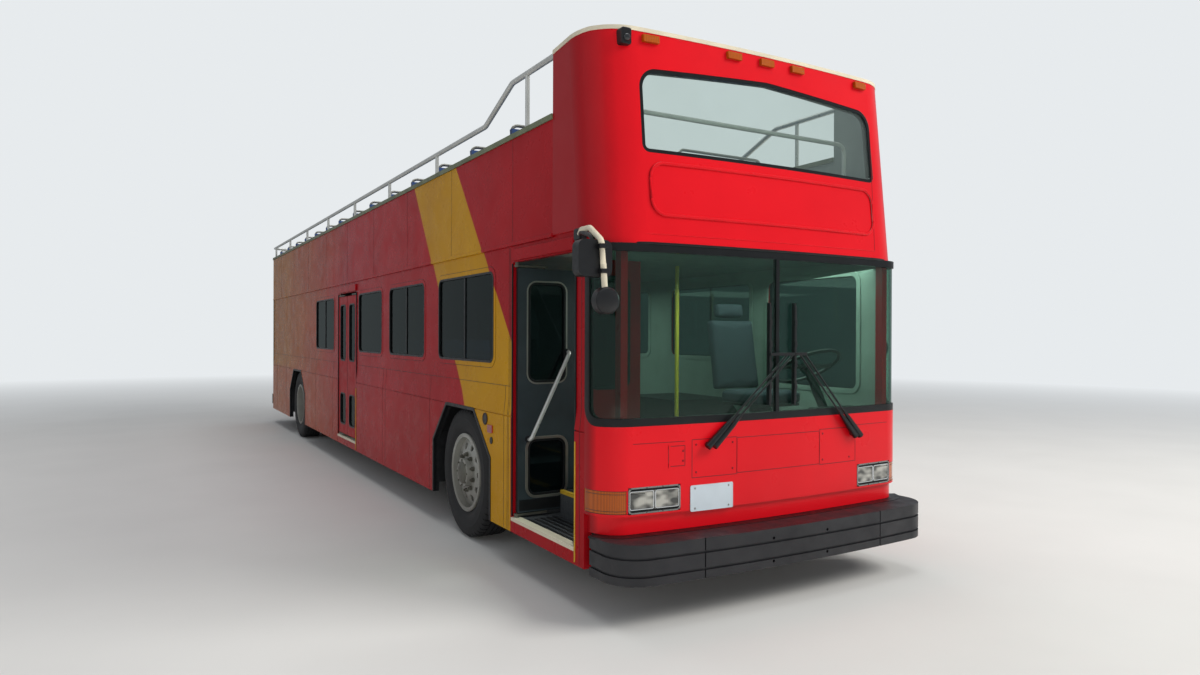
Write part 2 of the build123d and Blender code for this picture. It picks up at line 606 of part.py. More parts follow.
with BuildPart() as staircase:
    with BuildSketch(Plane.YZ.offset(STAIR_X[0] + STAIR_T)):
        for step in range(STAIR_COUNT):
            tread_z = Z_FLOOR + (step + 1) * STAIR_RISE
            tread_y = Y_STAIR + step * STAIR_GOING
            with Locations((tread_y + STAIR_T / 2, tread_z - STAIR_RISE / 2)):
                Rectangle(STAIR_T, STAIR_RISE)
            if step < STAIR_COUNT - 1:
                with Locations((tread_y + (STAIR_GOING + STAIR_T) / 2, tread_z - STAIR_T / 2)):
                    Rectangle(STAIR_GOING + STAIR_T, STAIR_T)
    extrude(amount=STAIR_X[1] - STAIR_X[0] - 2 * STAIR_T)
    for x in (STAIR_X[0], STAIR_X[1] - STAIR_T):
        with BuildSketch(Plane.YZ.offset(x)):
            with BuildLine():
                Polyline(
                    (Y_STAIR, Z_FLOOR), (Y_STAIR, Z_FLOOR + STAIR_RISE), (Y_STAIR_TOP, Z_UPPER_FLOOR),
                    (Y_STAIR_TOP + STAIR_T, Z_UPPER_FLOOR - FLOOR_T),
                    (Y_STAIR_TOP + STAIR_T, Z_UPPER_FLOOR - FLOOR_T - STAIR_RISE),
                    (Y_STAIR + STAIR_GOING, Z_FLOOR), close=True)
            make_face()
        extrude(amount=STAIR_T)
    with BuildSketch(Plane.XY.offset(Z_UPPER_FLOOR - FLOOR_T)):
        with Locations((0, Y_STAIR_TOP + STAIR_GOING / 2)):
            Rectangle(2 * INNER_X, STAIR_GOING)
    extrude(amount=2 * FLOOR_T, mode=Mode.SUBTRACT)
save(staircase, "staircase")

# Engine door with its louvres and hinge knuckles, and the engine behind it
LOUVRES = (9, 1300.0, 24.0, 46.0)         # count, length, height, pitch
Z_LOUVRE = 840.0
with BuildPart() as engine_door:
    with BuildSketch(Plane.XZ.offset(-TAIL)):
        with Locations((0, (ENGINE_DOOR[1] + ENGINE_DOOR[2]) / 2)):
            Rectangle(ENGINE_DOOR[0], ENGINE_DOOR[2] - ENGINE_DOOR[1])
        for row in range(LOUVRES[0]):
            with Locations((0, Z_LOUVRE + (row - LOUVRES[0] // 2) * LOUVRES[3])):
                Rectangle(LOUVRES[1], LOUVRES[2], mode=Mode.SUBTRACT)
    extrude(amount=DOOR_T)
    for x in HINGES:
        with BuildSketch(Plane.YZ.offset(x - HINGE_W / 2)):
            with Locations((TAIL + STRAP_T / 2, Z_HINGE - STRAP_L / 2)):
                Rectangle(STRAP_T, STRAP_L)
            with Locations((Y_HINGE, Z_HINGE)):
                Circle(HINGE_R)
                Circle(HINGE_PIN_R + 0.05, mode=Mode.SUBTRACT)
        extrude(amount=HINGE_W)
save(engine_door, "engine_door")

RAIL_X = 390.0
RAIL_W = 80.0
RAIL_H = 160.0
ENGINE = (310.0, (1204.0, 124.0), (450.0, 1150.0))    # half width, ahead of the rear wall, heights
GEARBOX = (165.0, 520.0, 585.0)           # radius, length, axis height
PROP_R = 45.0
DIFF_R = 180.0

with BuildPart() as engine:
    engine_half, (ahead, behind), (z_low, z_high) = ENGINE
    y_low = TAIL - ahead
    with BuildSketch(Plane.XY.offset(z_low)):
        with Locations((0, (y_low + TAIL - behind) / 2)):
            Rectangle(2 * engine_half, ahead - behind)
    extrude(amount=z_high - z_low)
    with BuildSketch(Plane.XZ.offset(-y_low)):
        with Locations((0, GEARBOX[2])):
            Circle(GEARBOX[0])
    extrude(amount=GEARBOX[1])
    with BuildSketch(Plane.XZ.offset(-y_low + GEARBOX[1])):
        with Locations((0, GEARBOX[2])):
            Circle(PROP_R)
    extrude(amount=y_low - GEARBOX[1] - Y_REAR_AXLE - DIFF_R - 10)
save(engine, "engine")

# Bumpers
BUMPER_Z = (245.0, 468.0)
BUMPER_DEPTH = 175.0
BUMPER_GROOVES = (290.0, 384.0)
GROOVE = (14.0, 12.0)                     # height, depth
BUMPER_BOLTS = (430.0, 134.0, 345.0)      # spacing across and up, height of the middle
BUMPER_BOLT_R = 9.0
BUMPER_BOLT_L = 60.0
BUMPER_JOINT = (700.0, 8.0, 10.0)         # place of the joints between its three parts, width, depth
REAR_BUMPER_Z = (330.0, 500.0)


def bumper_plan(z, inset):
    """Plan of the front bumper, its face set in from the foremost line by inset."""
    return nose_outline(z, 10.0 - inset, Y_POST - 80, NOSE_R, 10.0 - FRONT_REACH)


with BuildPart() as front_bumper:
    extrude(bumper_plan(BUMPER_Z[0], 0), amount=BUMPER_Z[1] - BUMPER_Z[0])
    for z in BUMPER_GROOVES:
        extrude(bumper_plan(z, -GROOVE[1]), amount=GROOVE[0], mode=Mode.SUBTRACT)
        extrude(bumper_plan(z, GROOVE[1]), amount=GROOVE[0])
    with BuildSketch() as slots:
        with Locations((-BUMPER_JOINT[0], NOSE - FRONT_REACH), (BUMPER_JOINT[0], NOSE - FRONT_REACH)):
            Rectangle(BUMPER_JOINT[1], 2 * FRONT_REACH)
        add(bumper_plan(0, BUMPER_JOINT[2]), mode=Mode.SUBTRACT)
    slot_plan = slots.sketch.moved(Location((0, 0, BUMPER_Z[0])))
    extrude(slot_plan, amount=BUMPER_Z[1] - BUMPER_Z[0], mode=Mode.SUBTRACT)
    extrude(bumper_plan(BUMPER_Z[0], BUMPER_DEPTH), amount=BUMPER_Z[1] - BUMPER_Z[0], mode=Mode.SUBTRACT)
    with BuildSketch(Plane.XZ.offset(LENGTH / 2)):
        with Locations((0, BUMPER_BOLTS[2])):
            with GridLocations(BUMPER_BOLTS[0], BUMPER_BOLTS[1], 2, 2):
                Circle(BUMPER_BOLT_R)
    extrude(amount=-BUMPER_BOLT_L, mode=Mode.SUBTRACT)

with BuildPart() as bumpers:
    add(front_bumper.part)
    with BuildSketch(Plane.XY.offset(REAR_BUMPER_Z[0])) as rear_plan:
        with Locations((0, TAIL + REAR_REACH / 2)):
            Rectangle(2 * HALF_W - 10, REAR_REACH)
        fillet(rear_plan.vertices().sort_by(Axis.Y)[-2:], REAR_REACH - 20)
    extrude(amount=REAR_BUMPER_Z[1] - REAR_BUMPER_Z[0])
save(bumpers, "bumpers")

# Underframe: two longitudinals, kicked up over the rear axle and down to the bumper
CROSSBAR = (60.0, 80.0)                   # along, deep
# Place along the bus, inner and outer end of the bar on each side
CROSSBARS = (
    (NOSE + 320, 0, INNER_X), (NOSE + 1440, 0, INNER_X), (Y_FRONT_AXLE, 0, RAIL_X),
    (NOSE + 3060, 0, INNER_X), (NOSE + 3900, 0, INNER_X), (NOSE + 4700, 0, INNER_X),
    (NOSE + 5560, 0, INNER_X), (TAIL - 5210, 0, INNER_X), (TAIL - 4470, 0, INNER_X),
    (TAIL - 3720, 0, INNER_X), (TAIL - 3230, 0, INNER_X), (Y_REAR_AXLE, 0, RAIL_X),
    (TAIL - 1750, 0, INNER_X), (TAIL - 870, RAIL_X, INNER_X), (TAIL - 270, RAIL_X, INNER_X))
HORN_TOP = 455.0
KICK = 200.0

with BuildPart() as underframe:
    low_top = Z_FLOOR - FLOOR_T
    high_top = Z_PLATFORM - FLOOR_T
    for x in (-RAIL_X, RAIL_X):
        with BuildSketch(Plane.YZ.offset(x - RAIL_W / 2)):
            with BuildLine():
                horn = NOSE + 2 * WALL + 30
                Polyline(
                    (NOSE - BUMPER_DEPTH / 2, HORN_TOP - RAIL_H), (NOSE - BUMPER_DEPTH / 2, HORN_TOP),
                    (horn, HORN_TOP), (horn + KICK, low_top), (Y_PLATFORM, low_top),
                    (Y_PLATFORM + KICK, high_top), (TAIL - WALL, high_top), (TAIL - WALL, high_top - RAIL_H),
                    (Y_PLATFORM + KICK + 60, high_top - RAIL_H), (Y_PLATFORM + 60, low_top - RAIL_H),
                    (horn + KICK + 60, low_top - RAIL_H), (horn + 60, HORN_TOP - RAIL_H), close=True)
            make_face()
        extrude(amount=RAIL_W)
    for y, inner, outer in CROSSBARS:
        kicked = min(max((y - Y_PLATFORM) / KICK, 0), 1)
        top = low_top + kicked * (high_top - low_top)
        with BuildSketch(Plane.XY.offset(top - CROSSBAR[1])):
            for sign in (-1, 1):
                with Locations((sign * (inner + outer - CLEAR) / 2, y)):
                    Rectangle(outer - CLEAR - inner, CROSSBAR[0])
        extrude(amount=CROSSBAR[1])
    add(front_bumper.part, mode=Mode.SUBTRACT)
save(underframe, "underframe")


# Axles, steering and wheels
def axle_plane(y):
    """Upright plane across the bus through an axle's centre: X to the right, Z up."""
    return Plane(origin=(0, y, TYRE_R), x_dir=(1, 0, 0), z_dir=(0, -1, 0))


BEAM_W = 90.0
BEAM_DROP = KINGPIN_X - 270.0              # where the beam reaches its low middle
BOSS_R = 42.0
BOSS_H = 50.0
KINGPIN_R = 20.0
PIN_RUN = 0.05
SPINDLE_R = 35.0
with BuildPart() as front_axle:
    with BuildSketch(axle_plane(Y_FRONT_AXLE)):
        with BuildLine():
            Polyline(
                (-KINGPIN_X, -35), (-KINGPIN_X, 35), (-KINGPIN_X + 150, 35), (-BEAM_DROP + 30, -85),
                (BEAM_DROP - 30, -85), (KINGPIN_X - 150, 35), (KINGPIN_X, 35), (KINGPIN_X, -35),
                (KINGPIN_X - 130, -35), (BEAM_DROP, -185), (-BEAM_DROP, -185), (-KINGPIN_X + 130, -35),
                close=True)
        make_face()
    extrude(amount=BEAM_W / 2, both=True)
    with BuildSketch(axle_plane(Y_FRONT_AXLE)):
        with Locations((0, -135)):
            Rectangle(2 * BEAM_DROP - 80, 60)
    extrude(amount=BEAM_W, both=True, mode=Mode.SUBTRACT)
    with BuildSketch(axle_plane(Y_FRONT_AXLE)):
        with Locations((0, -135)):
            Rectangle(2 * BEAM_DROP - 80, 60)
    extrude(amount=BEAM_W / 8, both=True)
    with BuildSketch(Plane.XY.offset(TYRE_R - BOSS_H)):
        with Locations((-KINGPIN_X, Y_FRONT_AXLE), (KINGPIN_X, Y_FRONT_AXLE)):
            Circle(BOSS_R)
    extrude(amount=2 * BOSS_H)
    with BuildSketch(Plane.XY.offset(TYRE_R - 2 * BOSS_H)):
        with Locations((-KINGPIN_X, Y_FRONT_AXLE), (KINGPIN_X, Y_FRONT_AXLE)):
            Circle(KINGPIN_R + PIN_RUN)
    extrude(amount=4 * BOSS_H, mode=Mode.SUBTRACT)
    with BuildSketch(Plane.XY.offset(TYRE_R - 85)):
        with Locations((-RAIL_X, Y_FRONT_AXLE), (RAIL_X, Y_FRONT_AXLE)):
            Rectangle(RAIL_W, BEAM_W)
    extrude(amount=low_top - RAIL_H - TYRE_R + 85)
save(front_axle, "front_axle")

EAR_T = 45.0
FLANGE_X = 50.0             # kingpin to the knuckle's flange
FLANGE_T = 25.0
HUB_R = 110.0
FRONT_DISC = 105.0          # wheel centre to the disc's outer face
HUB_OUT = 45.0              # hub past the disc
ROD_R = 18.0
ROD_PIN_R = 12.0
ROD_DROP = 3.0
ARM_H = 30.0
spindle_end = WHEEL_X + FRONT_DISC + HUB_OUT - 15
rod_y = Y_FRONT_AXLE + STEER_ARM
rod_x = KINGPIN_X
knuckle_low = TYRE_R - BOSS_H - CLEAR - EAR_T

with BuildPart() as knuckle:
    for z in (knuckle_low, TYRE_R + BOSS_H + CLEAR):
        with BuildSketch(Plane.XY.offset(z)):
            with Locations((KINGPIN_X, Y_FRONT_AXLE)):
                Circle(BOSS_R)
            with Locations((KINGPIN_X + FLANGE_X / 2, Y_FRONT_AXLE)):
                Rectangle(FLANGE_X, 2 * BOSS_R)
        extrude(amount=EAR_T)
    with BuildSketch(Plane.YZ.offset(KINGPIN_X + FLANGE_X)):
        with Locations((Y_FRONT_AXLE, TYRE_R)):
            RectangleRounded(2.6 * BOSS_R, 2 * (TYRE_R - knuckle_low), 20)
    extrude(amount=FLANGE_T)
    with BuildSketch(Plane.YZ.offset(KINGPIN_X + FLANGE_X + FLANGE_T)):
        with Locations((Y_FRONT_AXLE, TYRE_R)):
            Circle(SPINDLE_R)
    extrude(amount=spindle_end - KINGPIN_X - FLANGE_X - FLANGE_T)
    with BuildSketch(Plane.XY.offset(knuckle_low)):
        with Locations((KINGPIN_X, Y_FRONT_AXLE)):
            Circle(KINGPIN_R)
    extrude(amount=2 * (TYRE_R - knuckle_low))
    with BuildSketch(Plane.XY.offset(knuckle_low)):
        with BuildLine():
            Polyline(
                (KINGPIN_X + BOSS_R - 4, Y_FRONT_AXLE), (rod_x + 26, rod_y), (rod_x - 26, rod_y),
                (KINGPIN_X - BOSS_R + 4, Y_FRONT_AXLE), close=True)
        make_face()
        with Locations((rod_x, rod_y)):
            Circle(26)
            Circle(ROD_PIN_R + PIN_RUN, mode=Mode.SUBTRACT)
    extrude(amount=ARM_H)
save_pair(knuckle, "knuckle")

with BuildPart() as tie_rod:
    rod_z = knuckle_low - ROD_DROP - ROD_R
    with BuildSketch(Plane.YZ.offset(-rod_x)):
        with Locations((rod_y, rod_z)):
            Circle(ROD_R)
    extrude(amount=2 * rod_x)
    for x in (-rod_x, rod_x):
        with BuildSketch(Plane.XY.offset(rod_z - ROD_R)):
            with Locations((x, rod_y)):
                Circle(24)
        extrude(amount=2 * ROD_R + ROD_DROP - CLEAR)
        with BuildSketch(Plane.XY.offset(rod_z)):
            with Locations((x, rod_y)):
                Circle(ROD_PIN_R)
        extrude(amount=ROD_R + ROD_DROP + ARM_H)
save(tie_rod, "tie_rod")

REAR_SPINDLE_R = 50.0
TUBE_R = 80.0
TUBE_HALF = WHEEL_X - 485.0
REAR_HUB_END = WHEEL_X + 45.0
JACK_PAD = (112.0, 10.0)                  # along, below the tube
with BuildPart() as rear_axle:
    with BuildSketch(axle_plane(Y_REAR_AXLE)) as axle_profile:
        with BuildLine():
            end = REAR_HUB_END - 15
            Polyline(
                (-end, 0), (-end, REAR_SPINDLE_R), (-TUBE_HALF, REAR_SPINDLE_R), (-TUBE_HALF, TUBE_R),
                (-190, TUBE_R), (-110, DIFF_R), (110, DIFF_R), (190, TUBE_R), (TUBE_HALF, TUBE_R),
                (TUBE_HALF, REAR_SPINDLE_R), (end, REAR_SPINDLE_R), (end, 0), close=True)
        make_face()
    revolve(axis=Axis((0, Y_REAR_AXLE, TYRE_R), (1, 0, 0)))
    pad_z = TYRE_R - TUBE_R - JACK_PAD[1]
    with BuildSketch(Plane.XY.offset(pad_z)):
        with Locations((-RAIL_X, Y_REAR_AXLE), (RAIL_X, Y_REAR_AXLE)):
            Rectangle(RAIL_W, JACK_PAD[0])
    extrude(amount=high_top - RAIL_H - pad_z)
    with BuildSketch(Plane.XZ.offset(-Y_REAR_AXLE)):
        with Locations((0, GEARBOX[2])):
            Circle(PROP_R + 15)
    extrude(amount=-DIFF_R - 10 + CLEAR)
save(rear_axle, "rear_axle")

RIM_FLANGE = (12.0, 19.0)                 # width, height over the seat
RIM_HALF = 125.0
RIM_T = 12.0
HAND_HOLES = 10
HAND_HOLE_R = 26.0
HAND_PCR = 205.0
# Tyre's section over its bead: half width, radius
TYRE_PROFILE = ((133.0, 352.0), (140.0, 402.0), (134.0, 452.0), (124.0, 485.0), (106.0, 503.0))


def rim(y, centre, disc, hub_low, hub_high, bore):
    """Wheel disc, rim and hub round an axle: disc is its mounting face from the wheel's centre."""
    way = 1 if disc > 0 else -1
    with BuildSketch(axle_plane(y)) as section:
        with BuildLine():
            wide, tall = RIM_FLANGE
            Polyline(
                (centre - RIM_HALF, RIM_R - RIM_T), (centre - RIM_HALF, RIM_R + tall),
                (centre - RIM_HALF + wide, RIM_R + tall), (centre - RIM_HALF + wide, RIM_R),
                (centre + RIM_HALF - wide, RIM_R), (centre + RIM_HALF - wide, RIM_R + tall),
                (centre + RIM_HALF, RIM_R + tall), (centre + RIM_HALF, RIM_R - RIM_T), close=True)
        make_face()
        with BuildLine():
            edge = centre + way * 70
            face = centre + disc
            Polyline(
                (face, bore + 10), (face, 165), (edge, RIM_R - 4), (edge - way * 2 * RIM_T, RIM_R - 4),
                (face - way * RIM_T, 165), (face - way * RIM_T, bore + 10), close=True)
        make_face()
        with Locations(((hub_low + hub_high) / 2, (bore + HUB_R) / 2)):
            Rectangle(hub_high - hub_low, HUB_R - bore)
        with Locations((hub_high - 5, HUB_R / 2)):
            Rectangle(10, HUB_R)
    revolve(section.sketch, axis=Axis((0, y, TYRE_R), (1, 0, 0)))
    with BuildSketch(Plane.YZ.offset(centre + way * 10)) as holes:
        with Locations((y, TYRE_R)):
            with PolarLocations(HAND_PCR, HAND_HOLES):
                Circle(HAND_HOLE_R)
    extrude(holes.sketch, amount=disc, mode=Mode.SUBTRACT)


def tyre(y, centre):
    """Tyre with a bellied wall and shoulder, seated on the rim."""
    seat = RIM_R + CLEAR
    inner = RIM_HALF - RIM_FLANGE[0] - CLEAR
    wall = ((inner, seat), (inner, seat + 22), *TYRE_PROFILE)
    with BuildSketch(axle_plane(y)) as section:
        with BuildLine():
            Polyline(
                *[(centre + out, up) for out, up in wall], (centre, TYRE_R),
                *[(centre - out, up) for out, up in reversed(wall)], close=True)
        make_face()
    revolve(section.sketch, axis=Axis((0, y, TYRE_R), (1, 0, 0)))


with BuildPart() as rim_front:
    hub_start = KINGPIN_X + FLANGE_X + FLANGE_T + 5
    hub_end = WHEEL_X + FRONT_DISC + HUB_OUT
    rim(Y_FRONT_AXLE, WHEEL_X, FRONT_DISC, hub_start, hub_end, SPINDLE_R + PIN_RUN)
save_pair(rim_front, "rim_front")

with BuildPart() as tyre_front:
    tyre(Y_FRONT_AXLE, WHEEL_X)
save_pair(tyre_front, "tyre_front")

with BuildPart() as rims_rear:
    twin_mid = WHEEL_X - TWIN_PITCH / 2
    bore = REAR_SPINDLE_R + PIN_RUN
    rim(Y_REAR_AXLE, WHEEL_X, -TWIN_PITCH / 2, twin_mid - 2 * HUB_R, REAR_HUB_END, bore)
    rim(Y_REAR_AXLE, WHEEL_X - TWIN_PITCH, TWIN_PITCH / 2, twin_mid - 2 * HUB_R, REAR_HUB_END, bore)
save_pair(rims_rear, "rims_rear")

with BuildPart() as tyres_rear:
    tyre(Y_REAR_AXLE, WHEEL_X)
    tyre(Y_REAR_AXLE, WHEEL_X - TWIN_PITCH)
save_pair(tyres_rear, "tyres_rear")


# Doors: each leaf rides on an arm at its jamb and folds out across the doorway
def leaf_plane(shaft, way, width, opened):
    """A leaf's own plane: X from its shaft end along the leaf, Y to its face, Z up."""
    if opened:
        return Plane(origin=(LEAF_X + width, shaft, 0), x_dir=(-1, 0, 0), z_dir=(0, 0, 1))
    return Plane(origin=(LEAF_X, shaft, 0), x_dir=(0, way, 0), z_dir=(0, 0, 1))


def arm_plane(shaft, way, opened):
    """An arm's own plane: X from its shaft along the arm, Z up."""
    turn = (1, 0, 0) if opened else (0, way, 0)
    return Plane(origin=(LEAF_X, shaft, 0), x_dir=turn, z_dir=(0, 0, 1))


def upright(centre, radius, z_low, z_high, mode=Mode.ADD):
    """Round pin between two heights."""
    with BuildSketch(Plane.XY.offset(z_low)) as disc:
        with Locations(centre):
            Circle(radius)
    extrude(disc.sketch, amount=z_high - z_low, mode=mode)


def tube(start, end, radius):
    """Straight round bar between two points."""
    line = Vector(*end) - Vector(*start)
    with BuildSketch(Plane(origin=start, z_dir=line)) as disc:
        Circle(radius)
    extrude(disc.sketch, amount=line.length, mode=Mode.ADD)


LEAF_X = 30.0 - HALF_W
RAIL_HIGH = (45.0, 1470.0)                # assist rail's upper end: from the shaft, height
RAIL_LOW = (75.0, 880.0)                  # and its lower end: from the free edge, height
for doorway, front, rear, opened in DOORWAYS:
    first, last, width = door_frame(front, rear)
    for mark, shaft, way in (("a", first, 1.0), ("b", last, -1.0)):
        middle = (width / 2, 0)
        span = width - 2 * PANE_MARGIN + LEAF_TAIL
        with BuildPart() as leaf:
            with BuildSketch(Plane.XY.offset(LEAF_LOW)):
                with Locations(((width - LEAF_TAIL) / 2, 0)):
                    Rectangle(width + LEAF_TAIL, LEAF_T)
            extrude(amount=LEAF_TOP - LEAF_LOW)
            with BuildSketch(Plane.XZ):
                for low, high in LEAF_PANES:
                    with Locations(((width - LEAF_TAIL) / 2, (low + high) / 2)):
                        RectangleRounded(span, high - low, PANE_R)
            extrude(amount=LEAF_T, both=True, mode=Mode.SUBTRACT)
            upright(middle, LEAF_PIN_R + PIN_RUN, LEAF_LOW, LEAF_LOW + LEAF_PIN_L + CLEAR, Mode.SUBTRACT)
            upright(middle, LEAF_PIN_R + PIN_RUN, LEAF_TOP - LEAF_PIN_L - CLEAR, LEAF_TOP, Mode.SUBTRACT)
            inner = -way * (LEAF_T / 2 + ASSIST_OFF)
            ends = (RAIL_HIGH, (width - RAIL_LOW[0], RAIL_LOW[1]))
            (x_high, z_high), (x_low, z_low) = ends
            with BuildLine() as route:
                FilletPolyline(
                    (x_high, 0, z_high), (x_high, inner, z_high), (x_low, inner, z_low),
                    (x_low, 0, z_low), radius=2 * ASSIST_R)
            with BuildSketch(Plane(origin=route.line @ 0, z_dir=route.line % 0)):
                Circle(ASSIST_R)
            sweep(path=route.line)
        with BuildPart() as glass:
            with BuildSketch(Plane.XZ.offset(-PANE_T / 2)):
                for low, high in LEAF_PANES:
                    with Locations(((width - LEAF_TAIL) / 2, (low + high) / 2)):
                        RectangleRounded(span - 2 * CLEAR, high - low - 2 * CLEAR, PANE_R - CLEAR)
            extrude(amount=PANE_T)
        with BuildPart() as arm:
            for z, z_pin, z_seat in (
                    (LEAF_TOP + ARM_GAP, LEAF_TOP - LEAF_PIN_L, Z_DOOR_TOP - CLEAR),
                    (LEAF_LOW - ARM_GAP - ARM_T, LEAF_LOW + LEAF_PIN_L, STEP_Z[0] + CLEAR)):
                with BuildSketch(Plane.XY.offset(z)):
                    with Locations((width / 4, 0)):
                        SlotCenterToCenter(width / 2, ARM_W)
                extrude(amount=ARM_T)
                upright(middle, LEAF_PIN_R, min(z, z_pin), max(z, z_pin))
                upright((0, 0), SHAFT_R, min(z, z_seat), max(z, z_seat))
        leaf_at = leaf_plane(shaft, way, width, opened)
        arm_at = arm_plane(shaft, way, opened)
        for piece, name, plane in ((leaf, "leaf", leaf_at), (glass, "glass", leaf_at), (arm, "arm", arm_at)):
            with BuildPart() as placed:
                with Locations(plane):
                    add(piece.part)
            save(placed, f"{doorway}_door_{name}_{mark}")

# Lamps and the number plate
LAMP_LENS = (160.0, 104.0, 82.0)          # width, height, offset from the recess's middle
LAMP_BASE = (36.0, 14.0)                  # back and face of the bezel, in from the skin
with BuildPart() as headlamps:
    for sign in (-1, 1):
        with BuildSketch(nose_plane(sign * LAMP_X, Z_LAMP, -LAMP_BASE[0])):
            Rectangle(LAMP_SIZE[0] - 2 * CLEAR, LAMP_SIZE[1] - 2 * CLEAR)
        extrude(amount=LAMP_BASE[0] - LAMP_BASE[1])
        with BuildSketch(nose_plane(sign * LAMP_X, Z_LAMP, -LAMP_BASE[1])):
            with Locations((-LAMP_LENS[2], 0), (LAMP_LENS[2], 0)):
                Rectangle(LAMP_LENS[0], LAMP_LENS[1])
        extrude(amount=LAMP_BASE[1] - 4)
save(headlamps, "headlamps")

MARKERS = (363.0 - HALF_W, -260.0, 0.0, 260.0, HALF_W - 363.0)
MARKER = (105.0, 42.0, 22.0)              # width, height, how far it stands out
Z_MARKER = Z_MASK_TOP - 40.0
LENS_T = 28.0
with BuildPart() as turn_lamps:
    nose_prism(TURN_LOW + CLEAR, TURN_HIGH - CLEAR, -2, Y_POST - CLEAR)
    nose_prism(TURN_LOW, TURN_HIGH, -LENS_T, Y_POST, Mode.SUBTRACT)
    with BuildSketch(Plane.XY.offset(TURN_LOW)):
        with Locations((0, Y_POST)):
            Rectangle(2 * (TURN_X + CLEAR), 4 * POST)
    extrude(amount=TURN_HIGH - TURN_LOW, mode=Mode.SUBTRACT)
with BuildPart() as amber_lamps:
    mask_prism(Z_MARKER - MARKER[1] / 2, Z_MARKER + MARKER[1] / 2, MARKER[2])
    mask_prism(Z_MARKER - MARKER[1], Z_MARKER + MARKER[1], CLEAR, Mode.SUBTRACT)
    with BuildSketch(Plane.XY.offset(Z_MARKER - MARKER[1] / 2)):
        with Locations([(x, NOSE + MASK_R / 2) for x in MARKERS]):
            Rectangle(MARKER[0], 2 * MASK_R)
    extrude(amount=MARKER[1], mode=Mode.INTERSECT)
    add(turn_lamps.part)
save(amber_lamps, "amber_lamps")

with BuildPart() as tail_lamps:
    with BuildSketch(Plane.XZ.offset(LENS_T - TAIL)):
        with Locations((-TAIL_LAMP_X, Z_TAIL_LAMP), (TAIL_LAMP_X, Z_TAIL_LAMP)):
            Rectangle(TAIL_LAMP[0] - 2 * CLEAR, TAIL_LAMP[1] - 2 * CLEAR)
    extrude(amount=-LENS_T - LAMP_BASE[1])
save(tail_lamps, "tail_lamps")

PLATE = (305.0, 152.0, 3.0)
PLATE_AT = (387.0 - LAMP_X, 644.0)
with BuildPart() as number_plate:
    with BuildSketch(nose_plane(*PLATE_AT, CLEAR)):
        RectangleRounded(PLATE[0], PLATE[1], 10)
    extrude(amount=PLATE[2])
save(number_plate, "number_plate")

# Wipers: pivot, joint at the blade's holder, blade's place and ends; all x then z
WIPERS = (
    ((-535.0, 956.0), (54.0, 1476.0), -77.0, (1163.0, 1790.0)),
    ((654.0, 948.0), (152.0, 1476.0), 128.0, (1160.0, 1792.0)))
WIPER_OUT = 30.0
WIPER_R = 6.0
WIPER_TWIN = 46.0
BLADE = (12.0, 26.0)
with BuildPart() as wipers:
    for (x, z), (joint_x, joint_z), blade_x, (blade_low, blade_high) in WIPERS:
        for step in (0, WIPER_TWIN):
            with BuildSketch(nose_plane(x + step, z, CLEAR)):
                Circle(2 * WIPER_R)
            extrude(amount=WIPER_OUT + WIPER_R)
            pivot = nose_plane(x + step, z, WIPER_OUT).origin
            tube(pivot, nose_plane(joint_x + step, joint_z, WIPER_OUT).origin, WIPER_R)
        holder = (min(blade_x, joint_x) - 2 * WIPER_R, max(blade_x, joint_x + WIPER_TWIN) + 2 * WIPER_R)
        with BuildSketch(nose_plane(sum(holder) / 2, joint_z, WIPER_OUT - WIPER_R)):
            Rectangle(holder[1] - holder[0], 3 * WIPER_R)
        extrude(amount=2 * WIPER_R)
        with BuildSketch(nose_plane(blade_x, (blade_low + blade_high) / 2, -GLASS_SET + 1)):
            Rectangle(BLADE[0], blade_high - blade_low)
        extrude(amount=BLADE[1])
        with BuildSketch(nose_plane(blade_x, joint_z, 0)):
            Rectangle(BLADE[0], 3 * WIPER_R)
        extrude(amount=WIPER_OUT)
save(wipers, "wipers")

